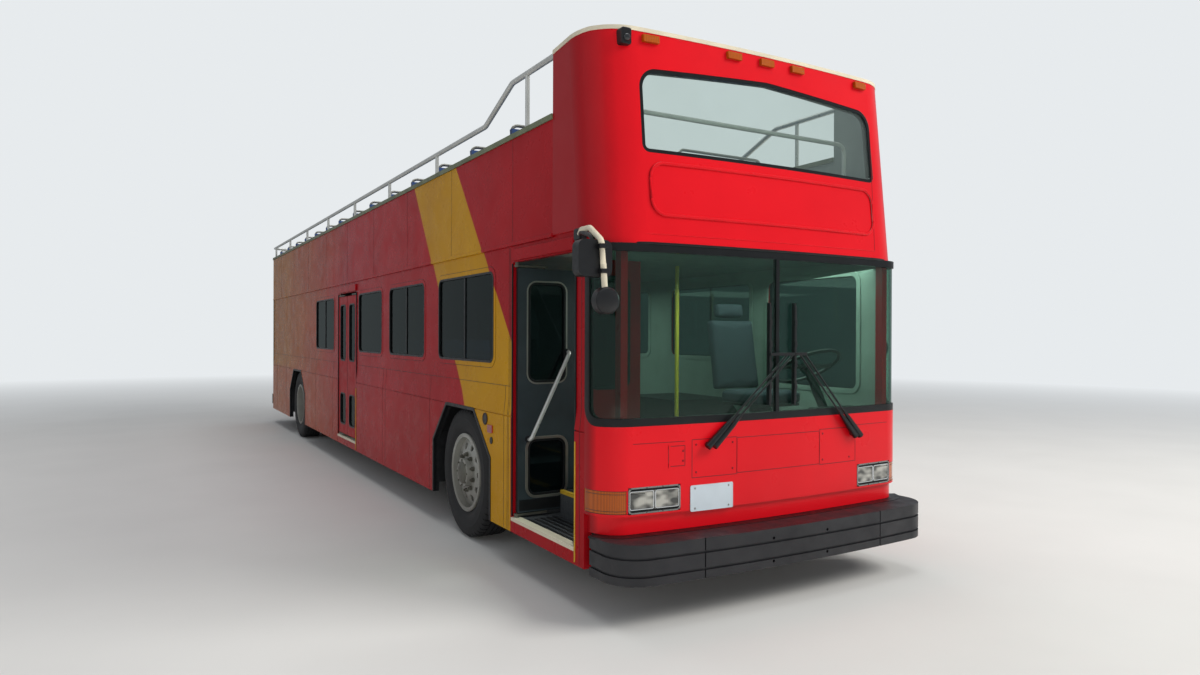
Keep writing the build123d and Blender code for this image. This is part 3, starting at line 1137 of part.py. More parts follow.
# Mirrors: a bracket on the front post, a bent arm, a head behind it and a round glass at its end
# Side, arm's points as out from the body side, back from the nose and height, then the head's heights
MIRRORS = (
    (-1, ((12.0, 300.0, 2165.0), (70.0, 170.0, 2162.0), (110.0, -10.0, 2120.0), (95.0, -102.0, 1960.0),
          (80.0, -107.0, 1770.0)), (1895.0, 2090.0)),
    (1, ((12.0, 346.0, 1850.0), (143.0, 400.0, 1850.0), (143.0, 400.0, 1500.0)), (1600.0, 1795.0)))
MIRROR_BEND = 70.0
MIRROR_R = 14.0
MIRROR_FOOT = (80.0, 70.0, 24.0)          # along, high, out from the body side
MIRROR_HEAD = (32.0, 235.0, 70.0)         # inner and outer side, depth
ROUND_MIRROR = (72.0, 50.0)
with BuildPart() as mirrors:
    for sign, arm, (z_low, z_high) in MIRRORS:
        with BuildLine() as route:
            FilletPolyline(*[(sign * (HALF_W + x), NOSE + y, z) for x, y, z in arm], radius=MIRROR_BEND)
        with BuildSketch(Plane(origin=route.line @ 0, z_dir=route.line % 0)):
            Circle(MIRROR_R)
        sweep(path=route.line)
        foot = SKIN_X + CLEAR
        with BuildSketch(Plane.YZ.offset(sign * foot)):
            with Locations((NOSE + arm[0][1], arm[0][2])):
                Rectangle(MIRROR_FOOT[0], MIRROR_FOOT[1])
        extrude(amount=sign * (HALF_W + MIRROR_FOOT[2] - foot))
        x_low, x_high, deep = MIRROR_HEAD
        arm_x, arm_y, arm_z = arm[-1]
        with BuildSketch(Plane.XZ.offset(-NOSE - arm_y - MIRROR_R + 2)) as head:
            with Locations((sign * (HALF_W + (x_low + x_high) / 2), (z_low + z_high) / 2)):
                RectangleRounded(x_high - x_low, z_high - z_low, 40)
        extrude(amount=-deep)
        with BuildSketch(Plane.XZ.offset(-NOSE - arm_y - ROUND_MIRROR[1] / 2)):
            with Locations((sign * (HALF_W + arm_x), arm_z)):
                Circle(ROUND_MIRROR[0])
        extrude(amount=ROUND_MIRROR[1])
save(mirrors, "mirrors")

# Rails and guards of the upper deck
RAIL_R = 19.0
DECK_RAIL = ((MASK_DEPTH + 1, Z_MASK_REAR + 5), (1330.0, Z_MASK_REAR + 5), (1815.0, Z_PARAPET + 208))
RAIL_POSTS = (1090.0, 2900.0, 1450.0, 270.0)    # first, second, pitch, least room at the tail
POST_R = 15.0
RAIL_LINE_X = HALF_W - WALL / 2
GUARD_Z = 3050.0
FRONT_BAR = (INNER_X - 180.0, 400.0, 2960.0)    # half width, back from the nose, height
with BuildPart() as deck_rails:
    back = TAIL - WALL / 2
    with BuildLine() as route:
        right = [(-RAIL_LINE_X, NOSE + y, z) for y, z in DECK_RAIL]
        corner = (-RAIL_LINE_X, back, DECK_RAIL[-1][1])
        line = right + [corner]
        FilletPolyline(*line, *[(-x, y, z) for x, y, z in reversed(line)], radius=100)
    with BuildSketch(Plane(origin=route.line @ 0, z_dir=route.line % 0)):
        Circle(RAIL_R)
    sweep(path=route.line)
    cap_top = Z_PARAPET + CAP_H + CLEAR
    first, second, pitch, room = RAIL_POSTS
    count = int((TAIL - NOSE - room - second) // pitch) + 1
    for station in (first, *[second + post * pitch for post in range(count)]):
        top = DECK_RAIL[0][1] if station < DECK_RAIL[1][0] else DECK_RAIL[-1][1]
        for x in (-RAIL_LINE_X, RAIL_LINE_X):
            upright((x, NOSE + station), POST_R, cap_top, top)
    for x in (-430, 430):
        upright((x, back), POST_R, cap_top, DECK_RAIL[-1][1])
    guard_x = STAIR_X[0] - 40
    guard_y = Y_STAIR - 60
    foot = Z_UPPER_FLOOR + CLEAR
    half, along, height = FRONT_BAR
    for loop in (
            ((guard_x, Y_STAIR_TOP, foot), (guard_x, Y_STAIR_TOP, GUARD_Z), (guard_x, guard_y, GUARD_Z),
             (INNER_X - 60, guard_y, GUARD_Z), (INNER_X - 60, guard_y, foot)),
            ((-half, NOSE + along, foot), (-half, NOSE + along, height), (half, NOSE + along, height),
             (half, NOSE + along, foot))):
        with BuildLine() as bent:
            FilletPolyline(*loop, radius=60)
        with BuildSketch(Plane(origin=bent.line @ 0, z_dir=bent.line % 0)):
            Circle(POST_R)
        sweep(path=bent.line)
save(deck_rails, "deck_rails")

# Benches: side profile extruded over the bench's width, on a box leg
BENCH = ((0.0, 380.0), (430.0, 405.0), (430.0, 440.0), (60.0, 425.0), (-40.0, 830.0), (-80.0, 830.0))
BENCH_W = 860.0
BENCH_LEG = (60.0, 240.0)
BENCH_PITCH = 770.0
BENCH_START = (1400.0, 430.0)             # first row back from the nose, least room behind the last


def benches(rows, floor):
    """Forward facing benches: each row is its seat's rear foot, side and width."""
    for y, sign, wide in rows:
        x_out = sign * (INNER_X - 20)
        x_in = x_out - sign * wide
        with BuildSketch(Plane.YZ.offset(min(x_out, x_in))) as profile:
            with BuildLine():
                Polyline(*[(y - along, floor + up) for along, up in BENCH], close=True)
            make_face()
        extrude(profile.sketch, amount=wide)
        with BuildSketch(Plane.XY.offset(floor + CLEAR)) as leg:
            with Locations(((x_out + x_in) / 2, y - BENCH[1][0] / 2)):
                Rectangle(BENCH_LEG[0], BENCH_LEG[1])
        extrude(leg.sketch, amount=BENCH[0][1] + 15)


row_count = int((TAIL - NOSE - sum(BENCH_START)) // BENCH_PITCH) + 1
row_ys = [NOSE + BENCH_START[0] + row * BENCH_PITCH for row in range(row_count)]
upper_rows = [(y, -1, BENCH_W) for y in row_ys]
for y in row_ys:
    if y < Y_STAIR - 120 or y > Y_STAIR_TOP + STAIR_LANDING:
        upper_rows.append((y, 1, BENCH_W))
with BuildPart() as upper_benches:
    benches(upper_rows, Z_UPPER_FLOOR)
save(upper_benches, "upper_benches")

# Side of each lower bench and its place back from the nose, as far as the platform leaves room
LOWER_BENCHES = (
    (-1, 3750.0), (-1, 4520.0), (-1, 5290.0), (-1, 7500.0), (-1, 8270.0),
    (1, 5800.0), (1, 6570.0), (1, 7340.0), (1, 8110.0))
lower_rows = [
    (NOSE + station, sign, BENCH_W - 60) for sign, station in LOWER_BENCHES
    if NOSE + station < Y_PLATFORM - FLOOR_T]
with BuildPart() as lower_benches:
    benches(lower_rows, Z_FLOOR)
    benches([(Y_ENGINE - 120, sign, BENCH_W) for sign in (-1, 1)], Z_PLATFORM)
save(lower_benches, "lower_benches")

# Driver's place and grab poles
DRIVER = (INNER_X - 470.0, NOSE + 1186.0)
SEAT = (470.0, 470.0, 110.0)              # width, depth, cushion thickness
SEAT_TOP = 480.0
with BuildPart() as driver_seat:
    x, y = DRIVER
    upright((x, y - SEAT[1] / 2), 90, Z_FLOOR + CLEAR, Z_FLOOR + SEAT_TOP - SEAT[2])
    with BuildSketch(Plane.XY.offset(Z_FLOOR + SEAT_TOP - SEAT[2])):
        with Locations((x, y - SEAT[1] / 2)):
            RectangleRounded(SEAT[0], SEAT[1], 60)
    extrude(amount=SEAT[2])
    with BuildSketch(Plane(origin=(x, y, Z_FLOOR + SEAT_TOP), x_dir=(1, 0, 0), z_dir=(0, -1, 0.17))):
        with Locations((0, 330)):
            RectangleRounded(SEAT[0], 720, 80)
    extrude(amount=-100)
save(driver_seat, "driver_seat")

DASH = ((-300.0, INNER_X - 140.0), (NOSE + 131.0, NOSE + 326.0), Z_BELT - 15.0)
with BuildPart() as dashboard:
    (x_low, x_high), (y_low, y_high), z_high = DASH
    with BuildSketch(Plane.YZ.offset(x_low)):
        with BuildLine():
            Polyline(
                (y_low, Z_FLOOR + CLEAR), (y_low, z_high), (y_high, z_high), (y_high, z_high - 150),
                (y_high - 30, Z_FLOOR + CLEAR), close=True)
        make_face()
    extrude(amount=x_high - x_low)
save(dashboard, "dashboard")

STEER_WHEEL = (NOSE + 466.0, 1370.0, 235.0, 14.0)    # y, z, radius, rim radius
STEER_TILT = 30.0
with BuildPart() as steering_wheel:
    y, z, wide, thick = STEER_WHEEL
    axis_way = Vector(0, sin(radians(STEER_TILT)), cos(radians(STEER_TILT)))
    wheel_plane = Plane(origin=(DRIVER[0], y, z), x_dir=(1, 0, 0), z_dir=axis_way)
    with BuildSketch(Plane(origin=wheel_plane.origin, x_dir=(1, 0, 0), z_dir=wheel_plane.y_dir * -1)):
        with Locations((wide, 0)):
            RegularPolygon(thick, 8)
    revolve(axis=Axis(wheel_plane.origin, axis_way))
    with Locations(wheel_plane):
        Cylinder(50, 36)
        Box(2 * wide, 34, 16)
    end = Vector(DRIVER[0], y, z) - axis_way * 480
    tube((DRIVER[0], y, z), end, 32)
    with BuildSketch(Plane.XY.offset(DASH[2] + CLEAR)):
        with Locations((DRIVER[0], y)):
            Rectangle(1000, 1600)
    extrude(amount=-500, mode=Mode.SUBTRACT)
save(steering_wheel, "steering_wheel")

POLES = (
    (40 - STEP_IN, 1440.0), (310.0, 1500.0), (-380.0, 3300.0), (380.0, 3200.0), (50 - STEP_IN, 5500.0),
    (380.0, 5100.0), (50 - STEP_IN, 6700.0), (380.0, 7560.0))
POLE_R = 17.0
with BuildPart() as grab_poles:
    for x, station in POLES:
        upright((x, NOSE + station), POLE_R, Z_FLOOR + CLEAR, Z_UPPER_FLOOR - FLOOR_T - CLEAR)
save(grab_poles, "grab_poles")
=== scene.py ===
import math
import bmesh
import bpy
from mathutils import Matrix, Vector


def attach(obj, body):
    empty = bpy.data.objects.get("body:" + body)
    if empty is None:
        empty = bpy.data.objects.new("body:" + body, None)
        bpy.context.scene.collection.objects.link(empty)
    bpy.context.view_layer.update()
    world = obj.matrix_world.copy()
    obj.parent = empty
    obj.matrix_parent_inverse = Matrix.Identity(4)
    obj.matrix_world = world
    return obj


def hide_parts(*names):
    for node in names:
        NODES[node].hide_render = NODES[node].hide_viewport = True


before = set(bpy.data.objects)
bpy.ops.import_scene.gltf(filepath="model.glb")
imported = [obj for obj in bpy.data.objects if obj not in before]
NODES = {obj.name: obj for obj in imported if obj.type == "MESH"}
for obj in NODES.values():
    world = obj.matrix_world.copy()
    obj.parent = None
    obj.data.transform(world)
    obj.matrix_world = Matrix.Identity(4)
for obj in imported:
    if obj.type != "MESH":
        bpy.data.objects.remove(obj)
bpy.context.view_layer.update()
BODY = "bus_body"

# Plan of the nose, as in the CAD part
NOSE, HALF, BOW = -5.886, 1.220, 0.060
NOSE_ARC = (HALF ** 2 + BOW ** 2) / (2 * BOW)
CORNER = 0.200
TAIL = 5.984
Y_FRONT, Y_REAR, AXLE_Z = -3.610, 3.477, 0.505


def rgb(text):
    """Linear colour of a hex text."""
    out = []
    for i in (0, 2, 4):
        c = int(text[i:i + 2], 16) / 255
        out.append(c / 12.92 if c <= 0.04045 else ((c + 0.055) / 1.055) ** 2.4)
    return (*out, 1.0)


M = {}


class Tree:
    """A node tree built by short calls."""

    def __init__(self, tree):
        self.tree = tree

    def put(self, value, socket):
        if isinstance(value, bpy.types.NodeSocket):
            self.tree.links.new(value, socket)
        else:
            socket.default_value = value

    def node(self, kind, out=0, inputs=None, **settings):
        """New node's output, by index or name; inputs holds values or other nodes' outputs."""
        n = self.tree.nodes.new(kind)
        for key, value in settings.items():
            setattr(n, key, value)
        for key, value in (inputs or {}).items():
            self.put(value, n.inputs[key])
        return n.outputs[out]

    def math(self, op, a, b=0.0, c=0.0):
        return self.node("ShaderNodeMath", 0, {0: a, 1: b, 2: c}, operation=op)

    def blend(self, fac, one, two):
        """Mix of two shaders."""
        return self.node("ShaderNodeMixShader", 0, {0: fac, 1: one, 2: two})

    def ray(self, kind):
        """1 for rays of a kind, else 0."""
        return self.node("ShaderNodeLightPath", f"Is {kind} Ray")

    def show(self, shader, node="Material Output"):
        self.put(shader, self.tree.nodes[node].inputs[0])


class Shader(Tree):
    """A material on the Principled shader, kept in M; spot and axes are the row frame's metres."""

    def __init__(self, name, rough=0.5, metal=0.0, coat=0.0, spec=0.5):
        M[name] = bpy.data.materials.new(name)
        M[name].use_nodes = True
        super().__init__(M[name].node_tree)
        self.bsdf = self.tree.nodes["Principled BSDF"]
        for key, value in (("Roughness", rough), ("Metallic", metal), ("Coat Weight", coat),
                           ("Coat Roughness", 0.06), ("Specular IOR Level", spec)):
            self.into(key, value)
        self.spot = self.node("ShaderNodeTexCoord", "Object")
        split = self.tree.nodes.new("ShaderNodeSeparateXYZ")
        self.put(self.spot, split.inputs[0])
        self.axes = split.outputs

    def into(self, key, value):
        self.put(value, self.bsdf.inputs[key])

    def noise(self, scale, detail=3.0, stretch=(1, 1, 1)):
        spot = self.node("ShaderNodeMapping", 0, {0: self.spot, "Scale": stretch})
        return self.node("ShaderNodeTexNoise", "Fac", {"Vector": spot, "Scale": scale, "Detail": detail})

    def wave(self, scale):
        return self.node("ShaderNodeTexWave", "Fac", {"Vector": self.spot, "Scale": scale})

    def ramp(self, value, low, high, out_low=0.0, out_high=1.0):
        return self.node("ShaderNodeMapRange", 0, {
            "Value": value, "From Min": low, "From Max": high, "To Min": out_low, "To Max": out_high})

    def patches(self, scale, detail=3.0, edge=0.3):
        """Slow patches from 0 to 1."""
        return self.ramp(self.noise(scale, detail), edge, 1 - edge)

    def mix(self, fac, a, b):
        return self.node("ShaderNodeMix", "Result", {"Factor": fac, "A": a, "B": b}, data_type="RGBA")

    def worn(self, colour, amount=0.12, scale=3.0, dirt=None):
        """Base colour in light and dark patches, with dirt below the height dirt where asked."""
        dark, lite = (tuple(min(1.0, c * f) for c in colour[:3]) + (1.0,) for f in (1 - amount, 1 + amount))
        out = self.mix(self.patches(scale), dark, lite)
        if dirt:
            grime = self.math("MULTIPLY", self.ramp(self.axes[2], dirt, 0.15), self.noise(9.0, 6.0))
            out = self.mix(self.math("MULTIPLY", grime, 0.9), out, rgb("4a4036"))
        self.into("Base Color", out)

    def rough(self, scale, low, high):
        self.into("Roughness", self.ramp(self.noise(scale, 4.0), 0.3, 0.7, low, high))

    def bump(self, height, strength=0.2, distance=0.002):
        self.into("Normal", self.node("ShaderNodeBump", 0, {
            "Strength": strength, "Distance": distance, "Height": height}))


def plain(name, text, rough, wear=0.10, scale=4.0, metal=0.0, coat=0.0, bump=None, dirt=None, spec=0.5):
    """One colour, a little worn; bump is a noise scale, a strength and a distance."""
    s = Shader(name, rough, metal, coat, spec)
    s.worn(rgb(text), wear, scale, dirt)
    s.rough(scale * 3, rough * 0.8, min(1.0, rough * 1.25))
    if bump:
        s.bump(s.noise(bump[0], 5.0), *bump[1:])


def between(s, low_y, low_z, high_y, high_z, soft=0.006):
    """1 behind (greater y than) the line through two points of a side view, 0 before it."""
    slope = (high_y - low_y) / (high_z - low_z)
    line = s.math("MULTIPLY_ADD", s.axes[2], slope, low_y - slope * low_z)
    return s.ramp(s.math("SUBTRACT", s.axes[1], line), -soft, soft)


# The sides' red: a darker, shaded copy of the front's red, that is painted shade for faces turned from the
# light.
RED_SIDE_SHADED = rgb("a01019")


def front_paint(name, start):
    """The front's bright red, which turns to the sides' deeper red round the corners as the faces turn
    sideways: painted shade, the sides taking a shaded copy of the red.
    """
    s = Shader(name, 0.32, coat=0.12, spec=0.18)
    across = s.node("ShaderNodeSeparateXYZ", 0, {0: s.node("ShaderNodeNewGeometry", "Normal")})
    # Painted shade: faces that turn sideways take the darker side red and lose their coat.
    aside = s.ramp(s.math("ABSOLUTE", across), start, 0.99)
    s.into("Base Color", s.mix(aside, s.mix(s.patches(1.5), rgb("d20e1b"), rgb("de111e")), RED_SIDE_SHADED))
    s.rough(4.5, 0.27, 0.38)
    s.into("Coat Weight", s.math("MULTIPLY_ADD", aside, -0.12, 0.12))


def side_paint(name):
    """Red sides, in a darker copy of the front's red as painted shade, with the ochre band behind the front
    door and the golden rear.
    """
    s = Shader(name, 0.40, spec=0.07)
    # Painted shade: the base is the shaded side red, in two random tones.
    base = s.mix(s.patches(1.3, 4.0, 0.35), RED_SIDE_SHADED, rgb("ad131d"))
    gold = s.mix(s.patches(1.2, 1.0, 0.2), rgb("a0600f"), rgb("b07a12"))
    fade = s.ramp(s.math("ADD", s.axes[1], s.math("MULTIPLY", s.noise(0.6, 1.0), 1.6)), 1.0, 6.4)
    base = s.mix(s.math("MULTIPLY", fade, 0.92), base, gold)
    low = s.ramp(s.math("ADD", s.axes[2], s.math("MULTIPLY", s.noise(3.0, 5.0), 0.10)), 1.13, 1.07)
    back = s.ramp(s.axes[1], 0.6, 3.2)
    pink = s.mix(s.noise(6.0, 6.0), rgb("a83a30"), rgb("b5684e"))
    base = s.mix(s.math("MULTIPLY", s.math("MULTIPLY", low, back), 0.6), base, pink)
    behind = between(s, -4.55, 1.58, -3.54, 2.88)
    before = s.math("SUBTRACT", 1.0, between(s, -3.73, 1.02, -2.46, 2.88))
    band = s.math("MULTIPLY", s.math("MULTIPLY", behind, before), s.ramp(s.axes[1], -4.600, -4.590))
    s.into("Base Color", s.mix(band, base, s.mix(s.patches(2.0), rgb("cb9508"), rgb("bf880a"))))
    s.rough(5.0, 0.22, 0.36)
    s.bump(s.noise(1.0, 0.0), 0.05, 0.002)


def glass(name, tint, clear, shade, gleam):
    """Tinted pane: part see-through, part mirror by angle; gleam is how much it mirrors."""
    s = Shader(name)
    s.tree.nodes.remove(s.bsdf)
    through = s.node("ShaderNodeBsdfTransparent", 0, {0: (*tint, 1)})
    body = s.node("ShaderNodeBsdfDiffuse", 0, {0: rgb(shade)})
    shine = s.node("ShaderNodeBsdfGlossy", 0, {
        "Roughness": 0.02, "Color": (gleam, gleam * 1.12, gleam * 1.08, 1)})
    haze = s.ramp(s.noise(2.0), 0.3, 0.7, 1 - clear - 0.03, 1 - clear + 0.03)
    slant = s.math("POWER", s.node("ShaderNodeLayerWeight", "Facing"), 4.0)
    share = s.math("MINIMUM", s.math("MULTIPLY_ADD", slant, 1.2, 0.07), 0.9)
    s.show(s.blend(share, s.blend(haze, through, body), shine))


def lens(name, text, glow=0.0, coat=0.8):
    """Fluted lamp glass."""
    s = Shader(name, 0.15, coat=coat, spec=0.3)
    flutes, colour = s.wave(28.0), rgb(text)
    s.into("Base Color", s.mix(flutes, colour, tuple(c * 0.72 for c in colour[:3]) + (1.0,)))
    s.bump(flutes, 0.4, 0.0015)
    s.into("Emission Color", colour)
    s.into("Emission Strength", glow)


front_paint("front_red", 0.90)
front_paint("mask_red", 0.50)
side_paint("side_red")
# Name, colour, roughness, wear and the wear's scale
plain("seam_red", "7d0d16", 0.45, 0.10, 6)
plain("seam_dark", "2a1512", 0.55, 0.15, 6)
# Outer face of the door leaves in the sides' darker red, a shaded copy of the bus red: painted shade.
plain("door_red_shaded", "a81019", 0.38, 0.08, spec=0.08)
plain("door_dark", "2a3337", 0.45, 0.2, 6)
plain("rail", "c9cac6", 0.32, 0.08, 6, metal=0.5)
plain("cream", "dcd3bb", 0.45, 0.08, 6)
plain("olive", "6c7358", 0.5, 0.22, 5, bump=(40, 0.2, 0.001))
plain("rubber", "111315", 0.40, 0.25, 8, spec=0.35)
plain("bumper", "232326", 0.5, 0.18, 3, bump=(220, 0.15, 0.0006))
plain("dash", "3d4244", 0.55, 0.15, 8, bump=(260, 0.2, 0.0006))
plain("trim_black", "131416", 0.4, 0.2, 12)
plain("steel", "9d9c94", 0.38, 0.12, 7, metal=0.85)
plain("steel_dull", "6a6960", 0.5, 0.2, 9, metal=0.7)
plain("chrome_dull", "8f9290", 0.30, 0.12, 14, metal=0.8)
plain("chrome", "d5d8da", 0.12, 0.04, 9, metal=1.0)
# White of the dials; on the front rail bar the same matte white is painted light, a lit copy of the rail's
# metal.
plain("white_and_painted_lit_rail", "d9d8d2", 0.4, 0.10, 5)
plain("chassis", "25262a", 0.6, 0.25, 6, dirt=1.0)
plain("engine", "4a4c4f", 0.55, 0.25, 10, metal=0.4)
plain("rim", "a3a39c", 0.42, 0.15, 9, metal=0.3, dirt=0.7)
plain("floor", "3c3f42", 0.6, 0.15, 30, bump=(160, 0.3, 0.001))
plain("tread_edge", "c9a227", 0.5, 0.12, 18)
plain("bench", "27406e", 0.42, 0.10, 6)
plain("cloth", "2b2f3a", 0.9, 0.2, 90, bump=(500, 0.4, 0.001))
plain("inner_wall", "8f9691", 0.55, 0.08, 5)
plain("pole", "d0b437", 0.35, 0.06, 10, coat=0.3)
plain("plate", "c3ced6", 0.35, 0.03, 12, coat=0.3)
plain("arch_black", "141517", 0.75, 0.25, 6)
plain("mirror_dark", "15181c", 0.06, 0.05, coat=0.8)
plain("mirror", "c8d0d4", 0.04, 0.02, metal=1.0)
# Name, tint, share that is clear, colour of the rest, mirror
glass("glass", (0.66, 0.86, 0.78), 0.86, "0f2a20", 0.34)
glass("glass_dark", (0.30, 0.37, 0.37), 0.62, "0c1416", 0.20)
glass("glass_clear", (0.84, 0.90, 0.88), 0.94, "a3b0aa", 0.62)
lens("amber", "b4560a", coat=0.25)
lens("red_lens", "a00c12", 0.05)
lens("white_lens", "a9aaa6")

# Headlamp glass, with the reflector behind it shown as painted highlights and dark reflections in noise
# patches
s = Shader("head_lens", 0.12, metal=0.35, coat=0.3)
painted_reflector_glints = s.ramp(s.noise(11.0, 1.0, (1.0, 0.2, 1.9)), 0.38, 0.62)
# Painted reflections: the reflector's bright and dark patches are base colour.
s.into("Base Color", s.mix(painted_reflector_glints, rgb("474846"), rgb("b4b3ab")))
s.bump(s.wave(22.0), 0.35, 0.0015)
s = Shader("tyre", 0.75)
s.worn(rgb("1d1d1e"), 0.2, 9.0)
s.bump(s.noise(120, 4.0), 0.2, 0.001)


def paint(node, *names, pick=lambda c, n: 0):
    """Materials on a CAD node; pick(centre, normal) gives a face's index into names."""
    mesh = NODES[node].data
    mesh.materials.clear()
    for name in names:
        mesh.materials.append(M[name])
    for p in mesh.polygons:
        p.material_index = int(pick(p.center, p.normal))


def turns(count, start=0.0):
    """Even angles round a circle."""
    return [2 * math.pi * (k + start) / count for k in range(count)]


def in_scene(name, data):
    """New object at the origin, since every mesh is in the row frame."""
    o = bpy.data.objects.new(name, data)
    bpy.context.scene.collection.objects.link(o)
    return o


def mesh_object(name, bm):
    mesh = bpy.data.meshes.new(name)
    bm.to_mesh(mesh)
    bm.free()
    return in_scene(name, mesh)


def soften(o, width, segments=2, angle=40):
    """Rounded edges."""
    m = o.modifiers.new("edge", "BEVEL")
    m.width, m.segments, m.angle_limit = width, segments, math.radians(angle)
    m.limit_method = "ANGLE"


class Part:
    """A mesh under work; place(u, v, w) puts a flat outline's point, w out of its plane."""

    def __init__(self):
        self.bm = bmesh.new()

    def bridge(self, loops, closed=False, caps=True):
        """Faces between loops of points one after another, with caps unless the run is closed."""
        rows = [[self.bm.verts.new(p) for p in loop] for loop in loops]
        count = len(rows[0])
        for one, two in zip(rows, rows[1:] + rows[:1] * closed):
            for k in range(count):
                j = (k + 1) % count
                self.bm.faces.new((one[k], one[j], two[j], two[k]))
        if caps and not closed:
            for row in (rows[0], rows[-1]):
                self.bm.faces.new(row)
        return rows

    def box(self, low, high):
        (x0, y0, z0), (x1, y1, z1) = low, high
        self.bridge([[(x, y0, z0), (x, y1, z0), (x, y1, z1), (x, y0, z1)] for x in (x0, x1)])

    def rod(self, a, b, radius, sides=12, end=None):
        a, b = Vector(a), Vector(b)
        d = b - a
        m = Matrix.Translation((a + b) / 2) @ d.to_track_quat("Z", "Y").to_matrix().to_4x4()
        bmesh.ops.create_cone(self.bm, cap_ends=True, segments=sides, radius1=radius,
                              radius2=end or radius, depth=d.length, matrix=m)

    def path(self, points, radius, sides=8, closed=False):
        """Round bar through points, with its joints mitred."""
        pts = [Vector(p) for p in points]
        loops = []
        for i, p in enumerate(pts):
            t = Vector()
            if closed or i:
                t += (p - pts[i - 1]).normalized()
            if closed or i < len(pts) - 1:
                t += (pts[(i + 1) % len(pts)] - p).normalized()
            t.normalize()
            side = t.cross(Vector((0, 0, 1)))
            if side.length < 0.1:
                side = t.cross(Vector((0, 1, 0)))
            side.normalize()
            up = side.cross(t)
            loops.append([p + (side * math.cos(a) + up * math.sin(a)) * radius for a in turns(sides)])
        self.bridge(loops, closed)

    def ring(self, outer, inner, low, high, place, closed=True):
        """Frame between two outlines of as many points, from depth low to high."""
        self.bridge([[place(*o, low), place(*o, high), place(*i, high), place(*i, low)]
                     for o, i in zip(outer, inner)], closed)

    def slab(self, outline, low, high, place):
        """Plate with an outline, from depth low to high."""
        self.bridge([[place(u, v, w) for u, v in outline] for w in (low, high)])

    def dome(self, centre, axis, radius, height, rings=4, sides=20):
        """Low dome on a round base, closed below."""
        turn = Vector(axis).to_track_quat("Z", "Y").to_matrix()
        loops = []
        for k in range(rings):
            a = math.pi / 2 * k / rings
            r, up = radius * math.cos(a), height * math.sin(a)
            loops.append([Vector(centre) + turn @ Vector((r * math.cos(t), r * math.sin(t), up))
                          for t in turns(sides)])
        rows = self.bridge(loops, caps=False)
        top = self.bm.verts.new(Vector(centre) + turn @ Vector((0, 0, height)))
        for k in range(sides):
            self.bm.faces.new((rows[-1][k - 1], rows[-1][k], top))
        self.bm.faces.new(rows[0])

    def finish(self, name, material, body=BODY, smooth=False, edge=None, segments=2):
        """Puts the mesh in the scene, on its body, with edges rounded by edge where given."""
        bmesh.ops.recalc_face_normals(self.bm, faces=self.bm.faces)
        o = mesh_object(name, self.bm)
        o.data.materials.append(M[material])
        if smooth:
            for p in o.data.polygons:
                p.use_smooth = True
            o.data.set_sharp_from_angle(angle=math.radians(38))
        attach(o, body)
        if edge:
            soften(o, edge, segments)
        return o


def nose_depth(x, corner=CORNER):
    """How far the nose's skin lies behind NOSE at x, corner radius included."""
    x, edge = abs(x), HALF - corner
    if x <= edge:
        return NOSE_ARC - math.sqrt(NOSE_ARC ** 2 - x * x)
    r = min(x - edge, corner)
    return NOSE_ARC - math.sqrt(NOSE_ARC ** 2 - edge * edge) + corner - math.sqrt(
        corner ** 2 - r * r) + r * edge / NOSE_ARC


def nose(x, z, out=0.0):
    """Point on the nose's skin, out metres ahead of it."""
    turn = math.asin(x / NOSE_ARC)
    return Vector((x + out * math.sin(turn), NOSE + nose_depth(x) - out * math.cos(turn), z))


def nose_frame(x, z, out=0.0):
    """Matrix whose X runs to the bus's left along the nose, Z up and -Y forward."""
    turn = math.asin(x / NOSE_ARC)
    return Matrix.Translation(nose(x, z, out)) @ Matrix.Rotation(turn, 4, "Z")


def nose_plate(part, x0, z0, x1, z1, low, high, steps=6):
    """Thin plate lying on the bowed nose."""
    part.bridge([[nose(x, z, out) for z, out in ((z0, low), (z1, low), (z1, high), (z0, high))]
                 for x in (x0 + (x1 - x0) * i / steps for i in range(steps + 1))])


def nose_line(part, points, width):
    """Seam on the nose through (x, z) points that run level or upright."""
    for (xa, za), (xb, zb) in zip(points, points[1:]):
        (x0, x1), (z0, z1) = sorted((xa, xb)), sorted((za, zb))
        if z1 - z0 < x1 - x0:
            nose_plate(part, x0, z0 - width / 2, x1, z1 + width / 2, -0.001, 0.0006)
        else:
            nose_plate(part, x0 - width / 2, z0, x1 + width / 2, z1, -0.001, 0.0006, 1)


# CAD nodes: materials and rounded edges
LAMP_X, LAMP_Z = HALF - 0.331, 0.662


def lamp_front(c, n):
    """The forward faces of the headlamps' lenses."""
    side = math.copysign(LAMP_X, c.x)
    base = nose(side, LAMP_Z)
    ahead = nose(side, LAMP_Z, 1.0) - base
    return n.dot(ahead) > 0.5 and (c - base).dot(ahead) > -0.009


def side_face(c, n):
    """Skin, lining, or the cut edge round a wheel arch."""
    if abs(n.x) > 0.9:
        return n.x * c.x < 0
    near = min(abs(c.y - Y_FRONT), abs(c.y - Y_REAR)) < 0.63
    return 2 if near and 0.256 < c.z < 1.022 else 0


